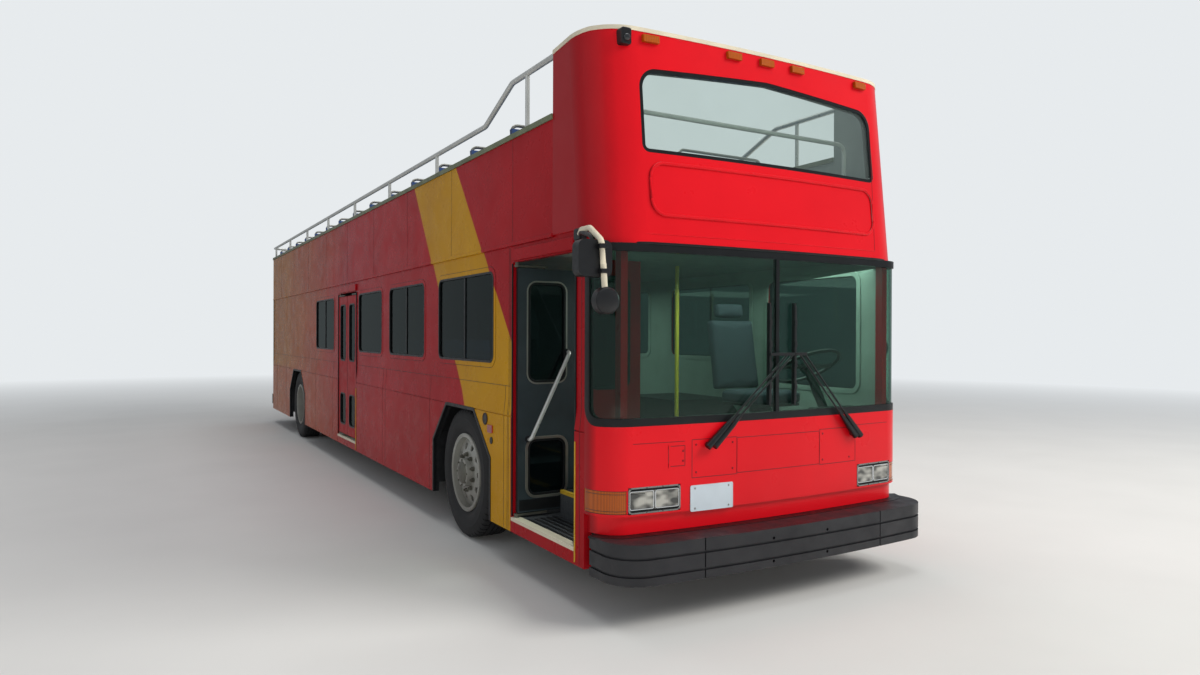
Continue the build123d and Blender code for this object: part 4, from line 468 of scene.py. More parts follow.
PAINTED = {
    "front_red": "front_panel",
    "side_red": "engine_door",
    "cream": "mask_trim",
    "olive": "parapet_cap",
    "rubber": "windscreen_rubbers",
    "glass_dark": "side_glass",
    "bumper": "bumpers",
    "chassis": "underframe front_axle rear_axle knuckle_left knuckle_right tie_rod",
    "arch_black": "wheel_housings",
    "engine": "engine",
    "floor": "lower_floor staircase door_steps",
    "bench": "upper_benches lower_benches",
    "cloth": "driver_seat",
    "dash": "dashboard",
    "trim_black": "steering_wheel mirrors wipers",
    "pole": "grab_poles",
    "amber": "amber_lamps",
    "red_lens": "tail_lamps",
    "plate": "number_plate",
}
for material, nodes in PAINTED.items():
    for node in nodes.split():
        paint(node, material)
for node in NODES:
    for kind in ("rim", "tyre"):
        if node.startswith(kind):
            paint(node, kind)
for node in ("side_wall_left", "side_wall_right"):
    paint(node, "side_red", "inner_wall", "arch_black", pick=side_face)
for node in ("upper_sides", "upper_rear_wall", "rear_wall"):
    paint(node, "side_red", "inner_wall",
          pick=lambda c, n: (abs(n.x) > 0.9 and n.x * c.x < 0) or n.y < -0.9)
paint("front_mask", "mask_red", "inner_wall",
      pick=lambda c, n: c.x * n.x + (c.y - NOSE - 1.2) * n.y < -0.2)
paint("windscreens", "glass", "glass_clear", pick=lambda c, n: c.z > 2.4)
paint("upper_floor", "floor", "inner_wall", pick=lambda c, n: n.z < -0.5)
# The front rail bar takes the matte white: painted light in place of the light it catches.
paint("deck_rails", "rail", "white_and_painted_lit_rail", pick=lambda c, n: c.y < -5.3 and c.z < 3.05)
paint("headlamps", "trim_black", "head_lens", pick=lamp_front)
LEAVES = (("front", "a", -5.474, (0, -1)), ("front", "b", -4.634, (0, 1)),
          ("rear", "a", -1.190, (-1, 0)), ("rear", "b", -1.190, (-1, 0)))
for door, mark, plane, (ox, oy) in LEAVES:
    def leaf_face(c, n):
        """Dark lining, red outer face, or the assist rail that stands off the lining."""
        off = (c.y - plane) * oy if door == "front" else plane - c.x
        return 2 if off < -0.0185 else n.x * ox + n.y * oy > 0.5

    paint(f"{door}_door_leaf_{mark}", "door_dark", "door_red_shaded", "rail", pick=leaf_face)
    paint(f"{door}_door_glass_{mark}", "glass_dark")
    paint(f"{door}_door_arm_{mark}", "steel_dull")
for node, width, segments in (
        ("bumpers", 0.028, 4), ("windscreen_rubbers", 0.010, 3), ("headlamps", 0.004, 2),
        ("mirrors", 0.012, 3), ("upper_benches", 0.012, 2), ("lower_benches", 0.012, 2),
        ("parapet_cap", 0.008, 2), ("dashboard", 0.02, 3), ("tail_lamps", 0.006, 2)):
    soften(NODES[node], width, segments, 35)


# Outlines and places
def rect(u0, v0, u1, v1):
    return [(u0, v0), (u1, v0), (u1, v1), (u0, v1)]


def round_rect(u0, v0, u1, v1, r, n=6):
    """Outline with corners of radius r in n steps."""
    pts = []
    corners = ((u1 - r, v0 + r), (u1 - r, v1 - r), (u0 + r, v1 - r), (u0 + r, v0 + r))
    for (cu, cv), start in zip(corners, (-90, 0, 90, 180)):
        for k in range(n + 1):
            a = math.radians(start + 90 * k / n)
            pts.append((cu + r * math.cos(a), cv + r * math.sin(a)))
    return pts


def disc(radius, sides=28):
    return [(radius * math.cos(a), radius * math.sin(a)) for a in turns(sides)]


def rounded(points, radius, n=5):
    """A run of points with its corners turned on arcs of one radius."""
    pts = [Vector(p) for p in points]
    out = [pts[0]]
    for a, p, b in zip(pts, pts[1:], pts[2:]):
        d1, d2 = (a - p).normalized(), (b - p).normalized()
        half = d1.angle(d2) / 2
        reach = radius / math.tan(half)
        centre = p + (d1 + d2).normalized() * (radius / math.sin(half))
        s, e = (p + d1 * reach - centre).normalized(), (p + d2 * reach - centre).normalized()
        out += [centre + s.slerp(e, k / n) * radius for k in range(n + 1)]
    return out + [pts[-1]]


def mask(x, z, out=0.0):
    """Point on the upper front's leaning skin."""
    corner, side, far = 0.300, math.copysign(1, x), abs(x)
    edge = HALF - corner
    turn = math.asin(min(far, edge) / NOSE_ARC) + math.asin(min(max(far - edge, 0) / corner, 0.995))
    y = NOSE + nose_depth(x, corner) + 0.126 * (z - 2.105) / 1.235
    return Vector((x + side * out * math.sin(turn), y - out * math.cos(turn), z))


def nose_place(x0, z0):
    """Place on the nose round one point: u to the bus's left, v up, w forward."""
    m = nose_frame(x0, z0)
    return lambda u, v, w: m @ Vector((u, -w, v))


GROOVE_LOW, GROOVE_HIGH, SHOULDER = 1.030, 1.038, 1.160


def side_skin(z):
    """Half width of the body's side at a height."""
    if z < GROOVE_HIGH or z > 2.2:
        return HALF
    return HALF - 0.012 * min((z - GROOVE_HIGH) / (SHOULDER - GROOVE_HIGH), 1)


def side_place(sign):
    return lambda y, z, w: (sign * (side_skin(z) + w), y, z)


def side_line(part, sign, y0, z0, y1, z1, width=0.004):
    """Seam on a body side, level or upright, broken at the belt groove and the shoulder."""
    if abs(z1 - z0) < abs(y1 - y0):
        runs = [(y0, z0 - width / 2, y1, z0 + width / 2)]
    else:
        stops = [z0] + [z for z in (GROOVE_LOW, GROOVE_HIGH, SHOULDER) if z0 < z < z1] + [z1]
        runs = [(y0 - width / 2, a, y0 + width / 2, b) for a, b in zip(stops, stops[1:])
                if (a, b) != (GROOVE_LOW, GROOVE_HIGH)]
    for run in runs:
        part.slab(rect(*run), -0.002, 0.0008, side_place(sign))


def wrap_band(part, z0, z1, low, high, sign, last=None):
    """Band round a lower front corner, from the turn lamp's inner edge to the post."""
    edge, steps = HALF - CORNER, 9
    y0 = NOSE + nose_depth(edge) + CORNER
    spots = [(edge - 0.068, NOSE + nose_depth(edge - 0.068), 0.0)]
    for k in range(steps + 1):
        a = math.radians(90 * k / steps)
        spots.append((edge + CORNER * math.sin(a), y0 - CORNER * math.cos(a), a))
    part.bridge([[(sign * (x + out * math.sin(a)), y - out * math.cos(a), z)
                  for out, z in ((low, z0), (high, z0), (high, z1), (low, z1))] for x, y, a in spots[:last]])


def screws(name, material, points, radius, height, sides):
    """Low screw heads that face forward."""
    part = Part()
    for point in points:
        part.dome(point, (0, -1, 0), radius, height, 3, sides)
    part.finish(name, material, smooth=True)


# Nose: hatches with seams, screws and hinges, then the lamps' and the plate's rims and screws
part = Part()
for x0, z0, x1, z1 in ((-0.800, 0.840, -0.690, 0.955), (-0.641, 0.764, -0.318, 0.985),
                       (-0.318, 0.770, 0.361, 0.980), (0.361, 0.765, 0.699, 0.990)):
    nose_line(part, ((x0, z0), (x1, z0), (x1, z1), (x0, z1), (x0, z0)), 0.0045)
nose_line(part, ((-1.03, 0.980), (-0.690, 0.980)), 0.004)
nose_line(part, ((0.699, 1.000), (1.03, 1.000)), 0.004)
part.finish("hatch_seams", "seam_red")
screws("hatch_screws", "seam_red", [nose(x, z) for x, z in (
    (-0.612, 0.795), (-0.350, 0.800), (-0.350, 0.955), (-0.612, 0.955), (0.390, 0.795),
    (0.640, 0.795), (0.390, 0.962), (-0.702, 0.925), (-0.702, 0.868))], 0.0065, 0.004, 12)
part = Part()
for z in (0.950, 0.845):
    part.slab(round_rect(-0.006, -0.013, 0.006, 0.013, 0.003, 2), -0.001, 0.004, nose_place(-0.795, z))
part.finish("hatch_hinges", "front_red")

LAMPS = [nose_place(sign * LAMP_X, LAMP_Z) for sign in (-1, 1)]
for name, material, frames, wide, radius, low, high in (
        ("lamp_frames", "chrome_dull", ((-0.170, -0.075, 0.170, 0.075),), 0.010, 0.022, -0.030, 0.002),
        ("lamp_rims", "chrome", ((-0.163, -0.054, -0.002, 0.054), (0.002, -0.054, 0.163, 0.054)),
         0.007, 0.014, -0.014, -0.001)):
    part = Part()
    for place in LAMPS:
        for u0, v0, u1, v1 in frames:
            part.ring(round_rect(u0, v0, u1, v1, radius),
                      round_rect(u0 + wide, v0 + wide, u1 - wide, v1 - wide, radius - wide * 0.6),
                      low, high, place)
    part.finish(name, material, edge=0.002)
screws("lamp_screws", "trim_black", [place(u, v, 0.001) for place in LAMPS for u in (
    -0.155, -0.052, 0.052, 0.155) for v in (-0.069, 0.069)], 0.004, 0.003, 10)
plate_place = nose_place(0.387 - LAMP_X, 0.644)
screws("plate_screws", "steel", [plate_place(u, v, 0.0033) for u in (-0.120, 0.120) for v in (-0.058, 0.058)],
       0.006, 0.0025, 12)
part = Part()
part.ring(round_rect(-0.1515, -0.075, 0.1515, 0.075, 0.010),
          round_rect(-0.1475, -0.071, 0.1475, 0.071, 0.007), 0.0030, 0.0042, plate_place)
part.finish("plate_rim", "plate")
part = Part()
for sign in (-1, 1):
    for z in (0.5905, 0.7175):
        wrap_band(part, z, z + 0.002, -0.020, 0.0002, sign)
    for z in (0.606, 0.700):
        wrap_band(part, z, z + 0.0025, -0.003, -0.0012, sign)
part.finish("turn_lamp_seams", "trim_black")
screws("turn_lamp_screws", "steel", [nose(sign * x, z, -0.002) for sign in (-1, 1) for x, z in (
    (1.045, 0.602), (1.105, 0.602), (1.045, 0.708), (1.105, 0.708))], 0.004, 0.003, 10)

# Upper front: seams and bead of the sign panel, drip bead over the windscreen, camera pod
MASK_LOW, MASK_HIGH, STEPS = 2.163, 3.300, 16
part = Part()
for x_low, x_high in ((-0.970, -0.970), (0.900, 0.960)):
    loops = []
    for t in (k / STEPS for k in range(STEPS + 1)):
        x, z = x_low + (x_high - x_low) * t, MASK_LOW + (MASK_HIGH - MASK_LOW) * t
        loops.append([mask(x + s, z, out) for s, out in (
            (-0.002, -0.001), (0.002, -0.001), (0.002, 0.0008), (-0.002, 0.0008))])
    part.bridge(loops)
part.finish("mask_seams", "seam_red")


def mask_bead(name, material, x0, x1, z, radius, steps, out=0.0):
    """Level round bead on the upper front."""
    part = Part()
    part.path([mask(x0 + (x1 - x0) * k / steps, z, out) for k in range(steps + 1)], radius)
    part.finish(name, material, smooth=True)


mask_bead("mask_crease", "front_red", -0.970, 0.900, MASK_LOW, 0.0032, 28)
part = Part()
bead = []
sign_outline = round_rect(-0.901, 2.274, 0.901, 2.576, 0.091, 8)
for (x0, z0), (x1, z1) in zip(sign_outline, sign_outline[1:] + sign_outline[:1]):
    steps = max(1, round(abs(x1 - x0) / 0.1))
    bead += [mask(x0 + (x1 - x0) * k / steps, z0 + (z1 - z0) * k / steps, 0.002) for k in range(steps)]
part.path(bead, 0.0105, 12, closed=True)
part.finish("sign_bead", "mask_red", smooth=True)
mask_bead("windscreen_drip", "rubber", -1.10, 1.10, 2.108, 0.009, 40, -0.002)

POD = mask(-1.024, 3.29)
part = Part()
part.slab(round_rect(-0.033, -0.048, 0.033, 0.048, 0.014), -0.02, 0.05,
          lambda u, v, w: (POD.x + u, POD.y - w, POD.z + v))
part.finish("camera_pod", "trim_black", edge=0.008, segments=3)
part = Part()
part.dome((POD.x, POD.y - 0.050, POD.z - 0.012), (0, -1, -0.3), 0.022, 0.016, 5, 20)
part.finish("camera_dome", "mirror_dark", smooth=True)

# Wipers: pivots, bridges on the blades, heads at the arms' feet
PIVOTS = ((-0.535, 0.956, 0.054), (-0.489, 0.956, 0.100), (0.654, 0.948, 0.152), (0.700, 0.948, 0.198))
part = Part()
for x, z, _ in PIVOTS:
    place = nose_place(x, z)
    part.rod(place(0, 0, 0.024), place(0, 0, 0.040), 0.0135, 6)
    part.dome(place(0, 0, 0.040), (0, -1, 0), 0.009, 0.007, 4, 14)
part.finish("wiper_nuts", "steel", smooth=True, edge=0.001)
part = Part()
for blade_x, low, high in ((-0.077, 1.163, 1.790), (0.128, 1.160, 1.792)):
    place = nose_place(blade_x, (low + high) / 2)
    half = (high - low) / 2
    part.slab(rect(-0.009, -half + 0.02, 0.009, half - 0.02), 0.016, 0.021, place)
    for v in (-half * 0.62, -half * 0.2, half * 0.2, half * 0.62):
        part.slab(round_rect(-0.011, v - 0.02, 0.011, v + 0.02, 0.004, 3), 0.0165, 0.026, place)
part.finish("wiper_bridges", "trim_black", edge=0.0015)
part = Part()
for x, z, to_x in PIVOTS:
    foot, neck, end = [nose(x + (to_x - x) * t, z + (1.476 - z) * t, 0.030) for t in (-0.03, 0.20, 0.30)]
    part.rod(foot, neck, 0.021, 12, 0.015)
    part.rod(neck, end, 0.015, 12, 0.007)
part.finish("wiper_heads", "trim_black", smooth=True)

# Dark filler between the bumper's back and the chin: a dark sheet put in the gap as painted shade
part = Part()
nose_plate(part, -0.955, 0.4580, 0.955, 0.4700, -0.060, 0.045, 12)
for sign in (-1, 1):
    wrap_band(part, 0.4580, 0.4700, -0.060, 0.045, sign, 9)
part.finish("bumper_gap_shade_filler", "rubber")

# Mirrors: pale arm, clamps, glass in both heads and the round head's dome
# Side, arm's points as out from the body side, back from the nose and height, clamps, head's middle
MIRRORS = (
    (-1, "right", ((12, 300, 2165), (70, 170, 2174), (92, 40, 2168), (109, -113, 2085), (96, -111, 1960),
                   (80, -107, 1770)), (2.055, 1.925), 1.9925),
    (1, "left", ((12, 346, 1850), (143, 400, 1850), (143, 400, 1500)), (1.750, 1.640), 1.6975))
for sign, side, arm, clamps, head_z in MIRRORS:
    points = [(sign * (1220 + x) / 1000, NOSE + y / 1000, z / 1000) for x, y, z in arm]
    _, y_root, z_root = points[0]
    x_end, y_end, z_end = points[-1]
    head_y = y_end + 0.012
    part = Part()
    part.path(rounded(points, 0.040 if sign < 0 else 0.070, 7), 0.0165, 14)
    part.finish(f"mirror_bar_{side}", "cream", smooth=True)
    part = Part()
    part.dome((x_end, y_end - 0.0245, z_end), (0, -1, 0), 0.070, 0.022, 6, 32)
    part.finish(f"mirror_back_{side}", "trim_black", smooth=True)
    part = Part()
    part.dome((x_end, y_end + 0.0248, z_end), (0, 1, 0), 0.064, 0.007, 6, 32)
    part.slab(round_rect(-0.089, -0.085, 0.089, 0.085, 0.03), 0.0, 0.003,
              lambda u, v, w: (sign * 1.3535 + u, head_y + 0.0698 + w, head_z + v))
    part.finish(f"mirror_glass_{side}", "mirror", smooth=True)
    part = Part()
    for z in clamps:
        x = x_end + (z - z_end) * (0.084 * sign if sign < 0 else 0)
        part.box((x - 0.025, head_y - 0.038, z - 0.012), (x + 0.025, head_y + 0.004, z + 0.012))
    part.slab(round_rect(-0.035, -0.030, 0.035, 0.030, 0.008), 0.0, 0.010,
              lambda u, v, w: (sign * (HALF + 0.024 + w), y_root + u, z_root + v))
    part.finish(f"mirror_clamps_{side}", "trim_black", edge=0.003)

# Sides: window frames and gaskets, seams, mouldings, arch lips
SKIRT, SEAM_TOP, BELT, HEAD = 0.262, 1.24, 1.237, 2.040
# Windows: front and rear edge behind the nose, and sill
RIGHT = [(1.62, 2.80, 1.390), (3.19, 4.29, 1.390), (4.58, 5.54, 1.390), (6.82, 7.94, 1.390)]
LEFT = RIGHT + [(5.76, 6.60, 1.390), (0.43, 1.40, 1.19)]
for sign, side, windows in ((-1, "right", RIGHT), (1, "left", LEFT)):
    place = side_place(sign)

    def upright_place(y, z, w):
        """As place, without the belt's step."""
        return (sign * (HALF + w), y, z)

    frames, gaskets, seams, liners = (Part() for _ in range(4))
    for front, rear, sill in windows:
        y0, y1 = NOSE + front, NOSE + rear

        def line(grow):
            return round_rect(y0 - grow, sill - grow, y1 + grow, HEAD + grow, 0.060 + grow, 8)

        frames.ring(line(0.037), line(0.003), -0.002, 0.003, place)
        seams.ring(line(0.0405), line(0.037), -0.002, 0.0006, place)
        gaskets.ring(line(0.005), line(-0.013), -0.011, 0.0055, place)
        liners.ring(line(0.030), line(-0.008), -0.0575, -0.047, upright_place)
        if rear - front > 1.05:
            mid = (y0 + y1) / 2
            gaskets.slab(rect(mid - 0.013, sill + 0.01, mid + 0.013, HEAD - 0.01), -0.011, -0.002, place)
    frames.finish(f"window_frames_{side}", "side_red", edge=0.0015)
    gaskets.finish(f"window_gaskets_{side}", "rubber", edge=0.003)
    liners.finish(f"window_liners_{side}", "inner_wall", edge=0.002)

    for y in (-4.480, -2.880, -1.480, -1.378, 0.960, 2.050, 4.480, 5.400):
        if sign > 0 or not -0.30 < y < 0.72:
            side_line(seams, sign, y, SKIRT, y, SEAM_TOP)
    side_line(seams, sign, -4.560, BELT, -0.320 if sign < 0 else 5.850, BELT, 0.0035)
    if sign < 0:
        side_line(seams, sign, 0.740, BELT, 5.850, BELT, 0.0035)
        for y in (-5.570, -4.560, -4.540, 0.715, -0.290):
            side_line(seams, sign, y, SKIRT, y, 2.18)
    for k in range(9):
        y = -4.620 + 1.2 * k
        side_line(seams, sign, y, 2.222, y, 2.905, 0.003)
    seams.finish(f"side_seams_{side}", "seam_dark")

    part = Part()
    part.slab(rect(NOSE + 0.672, 2.190, TAIL - 0.121, 2.214), -0.012, 0.006, upright_place)
    part.finish(f"waist_mould_{side}", "side_red", edge=0.004, segments=3)

    def arch(grow):
        """Outline of an open arch about its wheel's middle."""
        half, flat, top, cut = 0.62 + grow, 0.30 + grow * 0.414, 1.02 + grow, 0.0249 + grow * 0.4
        run = [(-half, 0.256), (-half, top - half + flat), (-flat - cut * 0.707, top - cut * 0.707),
               (-flat - cut * 0.20, top - cut * 0.18), (-flat + cut, top)]
        return run + [(-y, z) for y, z in reversed(run)]

    part = Part()
    for yc in (Y_FRONT, Y_REAR):
        outer, inner = ([(yc + y, z) for y, z in arch(grow)] for grow in (0.020, -0.006))
        part.ring(outer, inner, -0.020, 0.006, place, closed=False)
    part.finish(f"arch_lips_{side}", "rubber", edge=0.004)

# Small fittings behind the front door
place = side_place(-1)
part = Part()
part.slab([(-4.146 + u, 0.978 + v) for u, v in disc(0.035)], -0.002, 0.005, place)
part.slab([(-4.262 + u, 0.833 + v) for u, v in disc(0.0245)], -0.002, 0.006, place)
part.finish("side_caps", "trim_black", edge=0.002)
part = Part()
outer, inner = ([(-4.146 + u, 0.978 + v) for u, v in disc(r)] for r in (0.04375, 0.035))
part.ring(outer, inner, -0.002, 0.007, place)
part.finish("filler_ring", "seam_dark", edge=0.002)
for sign, side, material in ((-1, "right", "red_lens"), (1, "left", "amber")):
    part = Part()
    part.slab(round_rect(-4.285, 0.885, -4.195, 0.943, 0.010, 4), -0.002, 0.009, side_place(sign))
    part.finish(f"side_marker_{side}", material, edge=0.003)

# Doorways, from the front post to the rear one: headers, nosings, sills, ribs and seals
DOORWAYS = (("front", -5.506, -4.602), ("rear", -0.246, 0.674))
header, nosing, sill, rib, seal = (Part() for _ in range(5))
for _, first, last in DOORWAYS:
    header.box((-1.226, first + 0.012, 2.088), (-1.205, last - 0.012, 2.165))
    nosing.box((-1.2245, first - 0.015, 0.270), (-1.219, first - 0.005, 0.970))
    nosing.box((-0.9075, first + 0.125, 0.505), (-0.9045, last - 0.125, 0.5285))
    nosing.box((-0.9075, first + 0.125, 0.5250), (-0.880, last - 0.125, 0.5285))
    nosing.box((-0.6580, first + 0.002, 0.7000), (-0.628, last - 0.002, 0.7035))
    sill.box((-1.2225, first + 0.004, 0.3290), (-1.160, last - 0.004, 0.3535))
    for x0, pitch, z in ((-1.150, 0.045, 0.3500), (-0.860, 0.040, 0.5250)):
        for x in (x0 + pitch * k for k in range(5)):
            rib.box((x, first + 0.130, z), (x + 0.018, last - 0.130, z + 0.0030))
    for y in (first + 0.001, last - 0.001):
        seal.rod((-1.212, y, 0.360), (-1.212, y, 2.070), 0.006, 10)
header.finish("door_headers", "side_red", edge=0.007, segments=3)
nosing.finish("step_nosings", "tread_edge", edge=0.001)
sill.finish("door_sills", "cream", edge=0.002)
rib.finish("step_ribs", "trim_black")
seal.finish("jamb_seals", "rubber", smooth=True)

# Door leaves; the front ones stand open in the part, turned against the posts
for door, first, last in DOORWAYS:
    width = (last - first - 0.074) / 2
    mid, half = (width - 0.020) / 2, (width - 0.140) / 2
    for mark, shaft, way in (("a", first + 0.032, 1), ("b", last - 0.032, -1)):
        body = f"{door}_door_leaf_{mark}_body"

        def place(u, v, w):
            """u from the shaft's edge, v up, w out of the lining's far side."""
            if door == "front":
                return (-1.190 + width - u, shaft - way * w, v)
            return (-1.190 - w, shaft + way * u, v)

        rubbers, rings = Part(), Part()
        for low, high in ((0.500, 0.870), (1.270, 1.940)):
            def pane(grow):
                return round_rect(mid - half - grow, low - grow, mid + half + grow, high + grow, 0.055 + grow)

            rubbers.ring(pane(0.007), pane(-0.009), -0.0205, 0.0205, place)
            wide, deep = (0.026, -0.0212) if low < 1 and mark == "b" else (0.018, -0.0195)
            rings.ring(pane(wide), pane(0.007), deep, -0.0175, place)
        for u0, u1 in ((width - 0.005, width + 0.0035), (-0.0225, -0.018)):
            rubbers.slab(rect(u0, 0.388, u1, 2.036), -0.012, 0.012, place)
        rubbers.slab(rect(-0.016, 0.379, width - 0.004, 0.388), -0.010, 0.010, place)
        rubbers.finish(f"{door}_leaf_rubbers_{mark}", "rubber", body, edge=0.002)
        rings.finish(f"{door}_leaf_rings_{mark}", "steel" if mark == "b" else "trim_black", body, edge=0.001)
        part = Part()
        for u, z in ((0.045, 1.470), (width - 0.075, 0.880)):
            part.rod(place(u, z, -0.017), place(u, z, -0.040), 0.024, 16, 0.018)
        part.finish(f"{door}_leaf_ends_{mark}", "trim_black", body, smooth=True, edge=0.001)
        part = Part()
        part.slab(rect(-0.012, 0.395, width - 0.010, 0.470), -0.0195, -0.0175, place)
        part.finish(f"{door}_leaf_plates_{mark}", "trim_black", body)

# Wheels: treaded tyres in place of the plain ones, nuts, studs, hub caps and lips
WHEEL_X, TWIN = 1.045, 0.330
# (offset, radius, cut between blocks) from one bead to the tyre's middle
TYRE_HALF = [
    (0.1127, 0.2865, 0), (0.1127, 0.3083, 0), (0.1190, 0.3170, 0), (0.1215, 0.3230, 0), (0.1215, 0.3290, 0),
    (0.1270, 0.3400, 0), (0.1340, 0.3560, 0), (0.1385, 0.3800, 0), (0.1398, 0.4020, 0), (0.1388, 0.4240, 0),
    (0.1398, 0.4280, 0), (0.1385, 0.4330, 0), (0.1335, 0.4540, 0), (0.1290, 0.4700, 0), (0.1240, 0.4850, 1),
    (0.1200, 0.4920, 1), (0.1060, 0.5025, 1), (0.0700, 0.5038, 1),
    (0.0675, 0.4920, 0), (0.0595, 0.4920, 0), (0.0570, 0.5042, 0), (0.0240, 0.5049, 0), (0.0215, 0.4920, 0),
    (0.0135, 0.4920, 0), (0.0110, 0.5050, 0)]
TYRE = [(-x, r, c) for x, r, c in TYRE_HALF] + [(x, r, c) for x, r, c in reversed(TYRE_HALF)]


def add_tyre(part, x_mid, yc, sign, blocks=54):
    """Tyre with its blocks cut 8 mm deep and 22 parts in 100 of a step wide."""
    loops = []
    for i in range(blocks):
        for turn, low in ((i, 1), (i, 0), (i + 0.78, 0), (i + 0.78, 1)):
            a = turn * 2 * math.pi / blocks
            cut_line = [(x_mid + x, r - 0.008 * cut * low) for x, r, cut in TYRE]
            loops.append([(sign * x, yc + r * math.sin(a), AXLE_Z + r * math.cos(a)) for x, r in cut_line])
    part.bridge(loops, closed=True)


for sign, side in ((-1, "right"), (1, "left")):
    for node, body, yc, mids, disc_x, hub_x in (
            (f"tyre_front_{side}", f"wheel_front_{side}", Y_FRONT, (WHEEL_X,), WHEEL_X + 0.105, 1.195),
            (f"tyres_rear_{side}", f"wheels_rear_{side}", Y_REAR, (WHEEL_X, WHEEL_X - TWIN), 0.880, 1.090)):
        def place(u, v, w):
            """u and v in the wheel's plane, w from the bus's middle outward."""
            return (sign * w, yc + u, AXLE_Z + v)

        part = Part()
        for x_mid in mids:
            add_tyre(part, x_mid, yc, sign)
        bmesh.ops.remove_doubles(part.bm, verts=part.bm.verts, dist=1e-5)
        o = part.finish(f"{node}_treaded", "tyre", body, smooth=True)
        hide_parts(node)
        part = Part()
        for a in turns(10, 0.5):
            u, v = 0.1400 * math.cos(a), 0.1400 * math.sin(a)
            for low, high, radius, sides in (
                    (-0.002, 0.003, 0.0195, 16), (0, 0.022, 0.0165, 6), (0, 0.034, 0.0095, 10)):
                part.rod(place(u, v, disc_x + low), place(u, v, disc_x + high), radius, sides)
        part.finish(f"{body}_nuts", "steel_dull", body, edge=0.0012)
        part = Part()
        part.dome(place(0, 0, hub_x - 0.001), (sign, 0, 0), 0.088, 0.020, 6, 36)
        for a in turns(8):
            u, v = 0.0975 * math.cos(a), 0.0975 * math.sin(a)
            part.rod(place(u, v, hub_x - 0.002), place(u, v, hub_x + 0.009), 0.0075, 6)
        part.finish(f"{body}_cap", "steel_dull", body, smooth=True)
        part = Part()
        part.ring(disc(0.300, 64), disc(0.2886, 64), WHEEL_X + 0.119, WHEEL_X + 0.1285, place)
        part.finish(f"{body}_lip", "rim", body, smooth=True, edge=0.002)


# Rear: lamp sections, latches and lifting handle of the engine door, seams
def rear_place(u, v, w):
    return (u, TAIL + w, v)


lenses = {"amber": Part(), "red_lens": Part(), "white_lens": Part()}
rims = Part()
for sign in (-1, 1):
    def place(u, v, w):
        return (sign * 1.010 + u, 5.998 + w, 1.000 + v)

    for material, v0, v1 in (("amber", 0.075, 0.198), ("red_lens", -0.060, 0.063),
                             ("white_lens", -0.198, -0.072)):
        line = round_rect(-0.053, v0, 0.053, v1, 0.016)
        lenses[material].slab(line, -0.002, 0.006, place)
        rims.ring(round_rect(-0.060, v0 - 0.005, 0.060, v1 + 0.005, 0.020), line, -0.002, 0.007, place)
for material, part in lenses.items():
    part.finish(f"tail_{material}", material, edge=0.003)
rims.finish("tail_rims", "trim_black", edge=0.002)
part = Part()
for x in (-0.640, 0.640):
    part.slab(round_rect(x - 0.055, 0.565, x + 0.055, 0.605, 0.012), 0.0, 0.007, rear_place)
    part.slab(round_rect(x - 0.012, 0.572, x + 0.012, 0.598, 0.008), 0.006, 0.018, rear_place)
part.finish("engine_latches", "trim_black", "engine_door_body", edge=0.002)
part = Part()
part.path(rounded([(-0.110, TAIL - 0.002, 0.585), (-0.110, TAIL + 0.040, 0.585),
                   (0.110, TAIL + 0.040, 0.585), (0.110, TAIL - 0.002, 0.585)], 0.018, 4), 0.007, 10)
part.finish("engine_handle", "steel", "engine_door_body", smooth=True)
part = Part()
for z in (1.340, 2.080):
    part.slab(rect(-1.05, z - 0.002, 1.05, z + 0.002), -0.002, 0.0008, rear_place)
for x in (-1.05, 1.05):
    part.slab(rect(x - 0.002, 1.340, x + 0.002, 2.080), -0.002, 0.0008, rear_place)
part.finish("rear_seams", "seam_dark")

# Driver's place: a seat with stuffed cushions, its base, and the instrument hood
SEAT_X, SEAT_Y, SEAT_Z = 0.700, -4.700, 1.180
BASE_Y = SEAT_Y - 0.235
BACK = Matrix(((1, 0, 0), (0, 0.168, -0.986), (0, 0.986, 0.168))).to_4x4()
BACK.translation = (SEAT_X, SEAT_Y, SEAT_Z)


def evaluated_mesh(o):
    """The object's mesh as its modifiers leave it, which then go."""
    mesh = bpy.data.meshes.new_from_object(o.evaluated_get(bpy.context.evaluated_depsgraph_get()))
    o.modifiers.clear()
    o.data = mesh


def stuffed(name, size, radius, place, cap=0.012):
    """Cushion: a rounded block blown up by a cloth run, its swelling capped, then smoothed."""
    bm = bmesh.new()
    bmesh.ops.create_cube(bm, size=1.0, matrix=Matrix.Diagonal((*size, 1)))
    bmesh.ops.bevel(bm, geom=bm.edges[:], offset=radius, segments=4, profile=0.6, affect="EDGES")
    o = mesh_object(name, bm)
    remesh = o.modifiers.new("remesh", "REMESH")
    remesh.mode = "VOXEL"
    remesh.voxel_size = 0.010
    evaluated_mesh(o)
    start = [v.co.copy() for v in o.data.vertices]
    cloth = o.modifiers.new("cloth", "CLOTH")
    cloth.settings.use_pressure = True
    cloth.settings.uniform_pressure_force = 4.0
    cloth.settings.effector_weights.gravity = 0.0
    cloth.point_cache.frame_start, cloth.point_cache.frame_end = 1, 20
    for step in range(1, 21):
        bpy.context.scene.frame_set(step)
    evaluated_mesh(o)
    for v, rest in zip(o.data.vertices, start):
        move = v.co - rest
        if move.length > cap:
            v.co = rest + move.normalized() * cap
    bpy.context.scene.frame_set(1)
    o.data.transform(place)
    o.data.materials.clear()
    o.data.materials.append(M["cloth"])
    for p in o.data.polygons:
        p.use_smooth = True
    smooth = o.modifiers.new("smooth", "SUBSURF")
    smooth.levels = smooth.render_levels = 1
    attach(o, BODY)
    return o


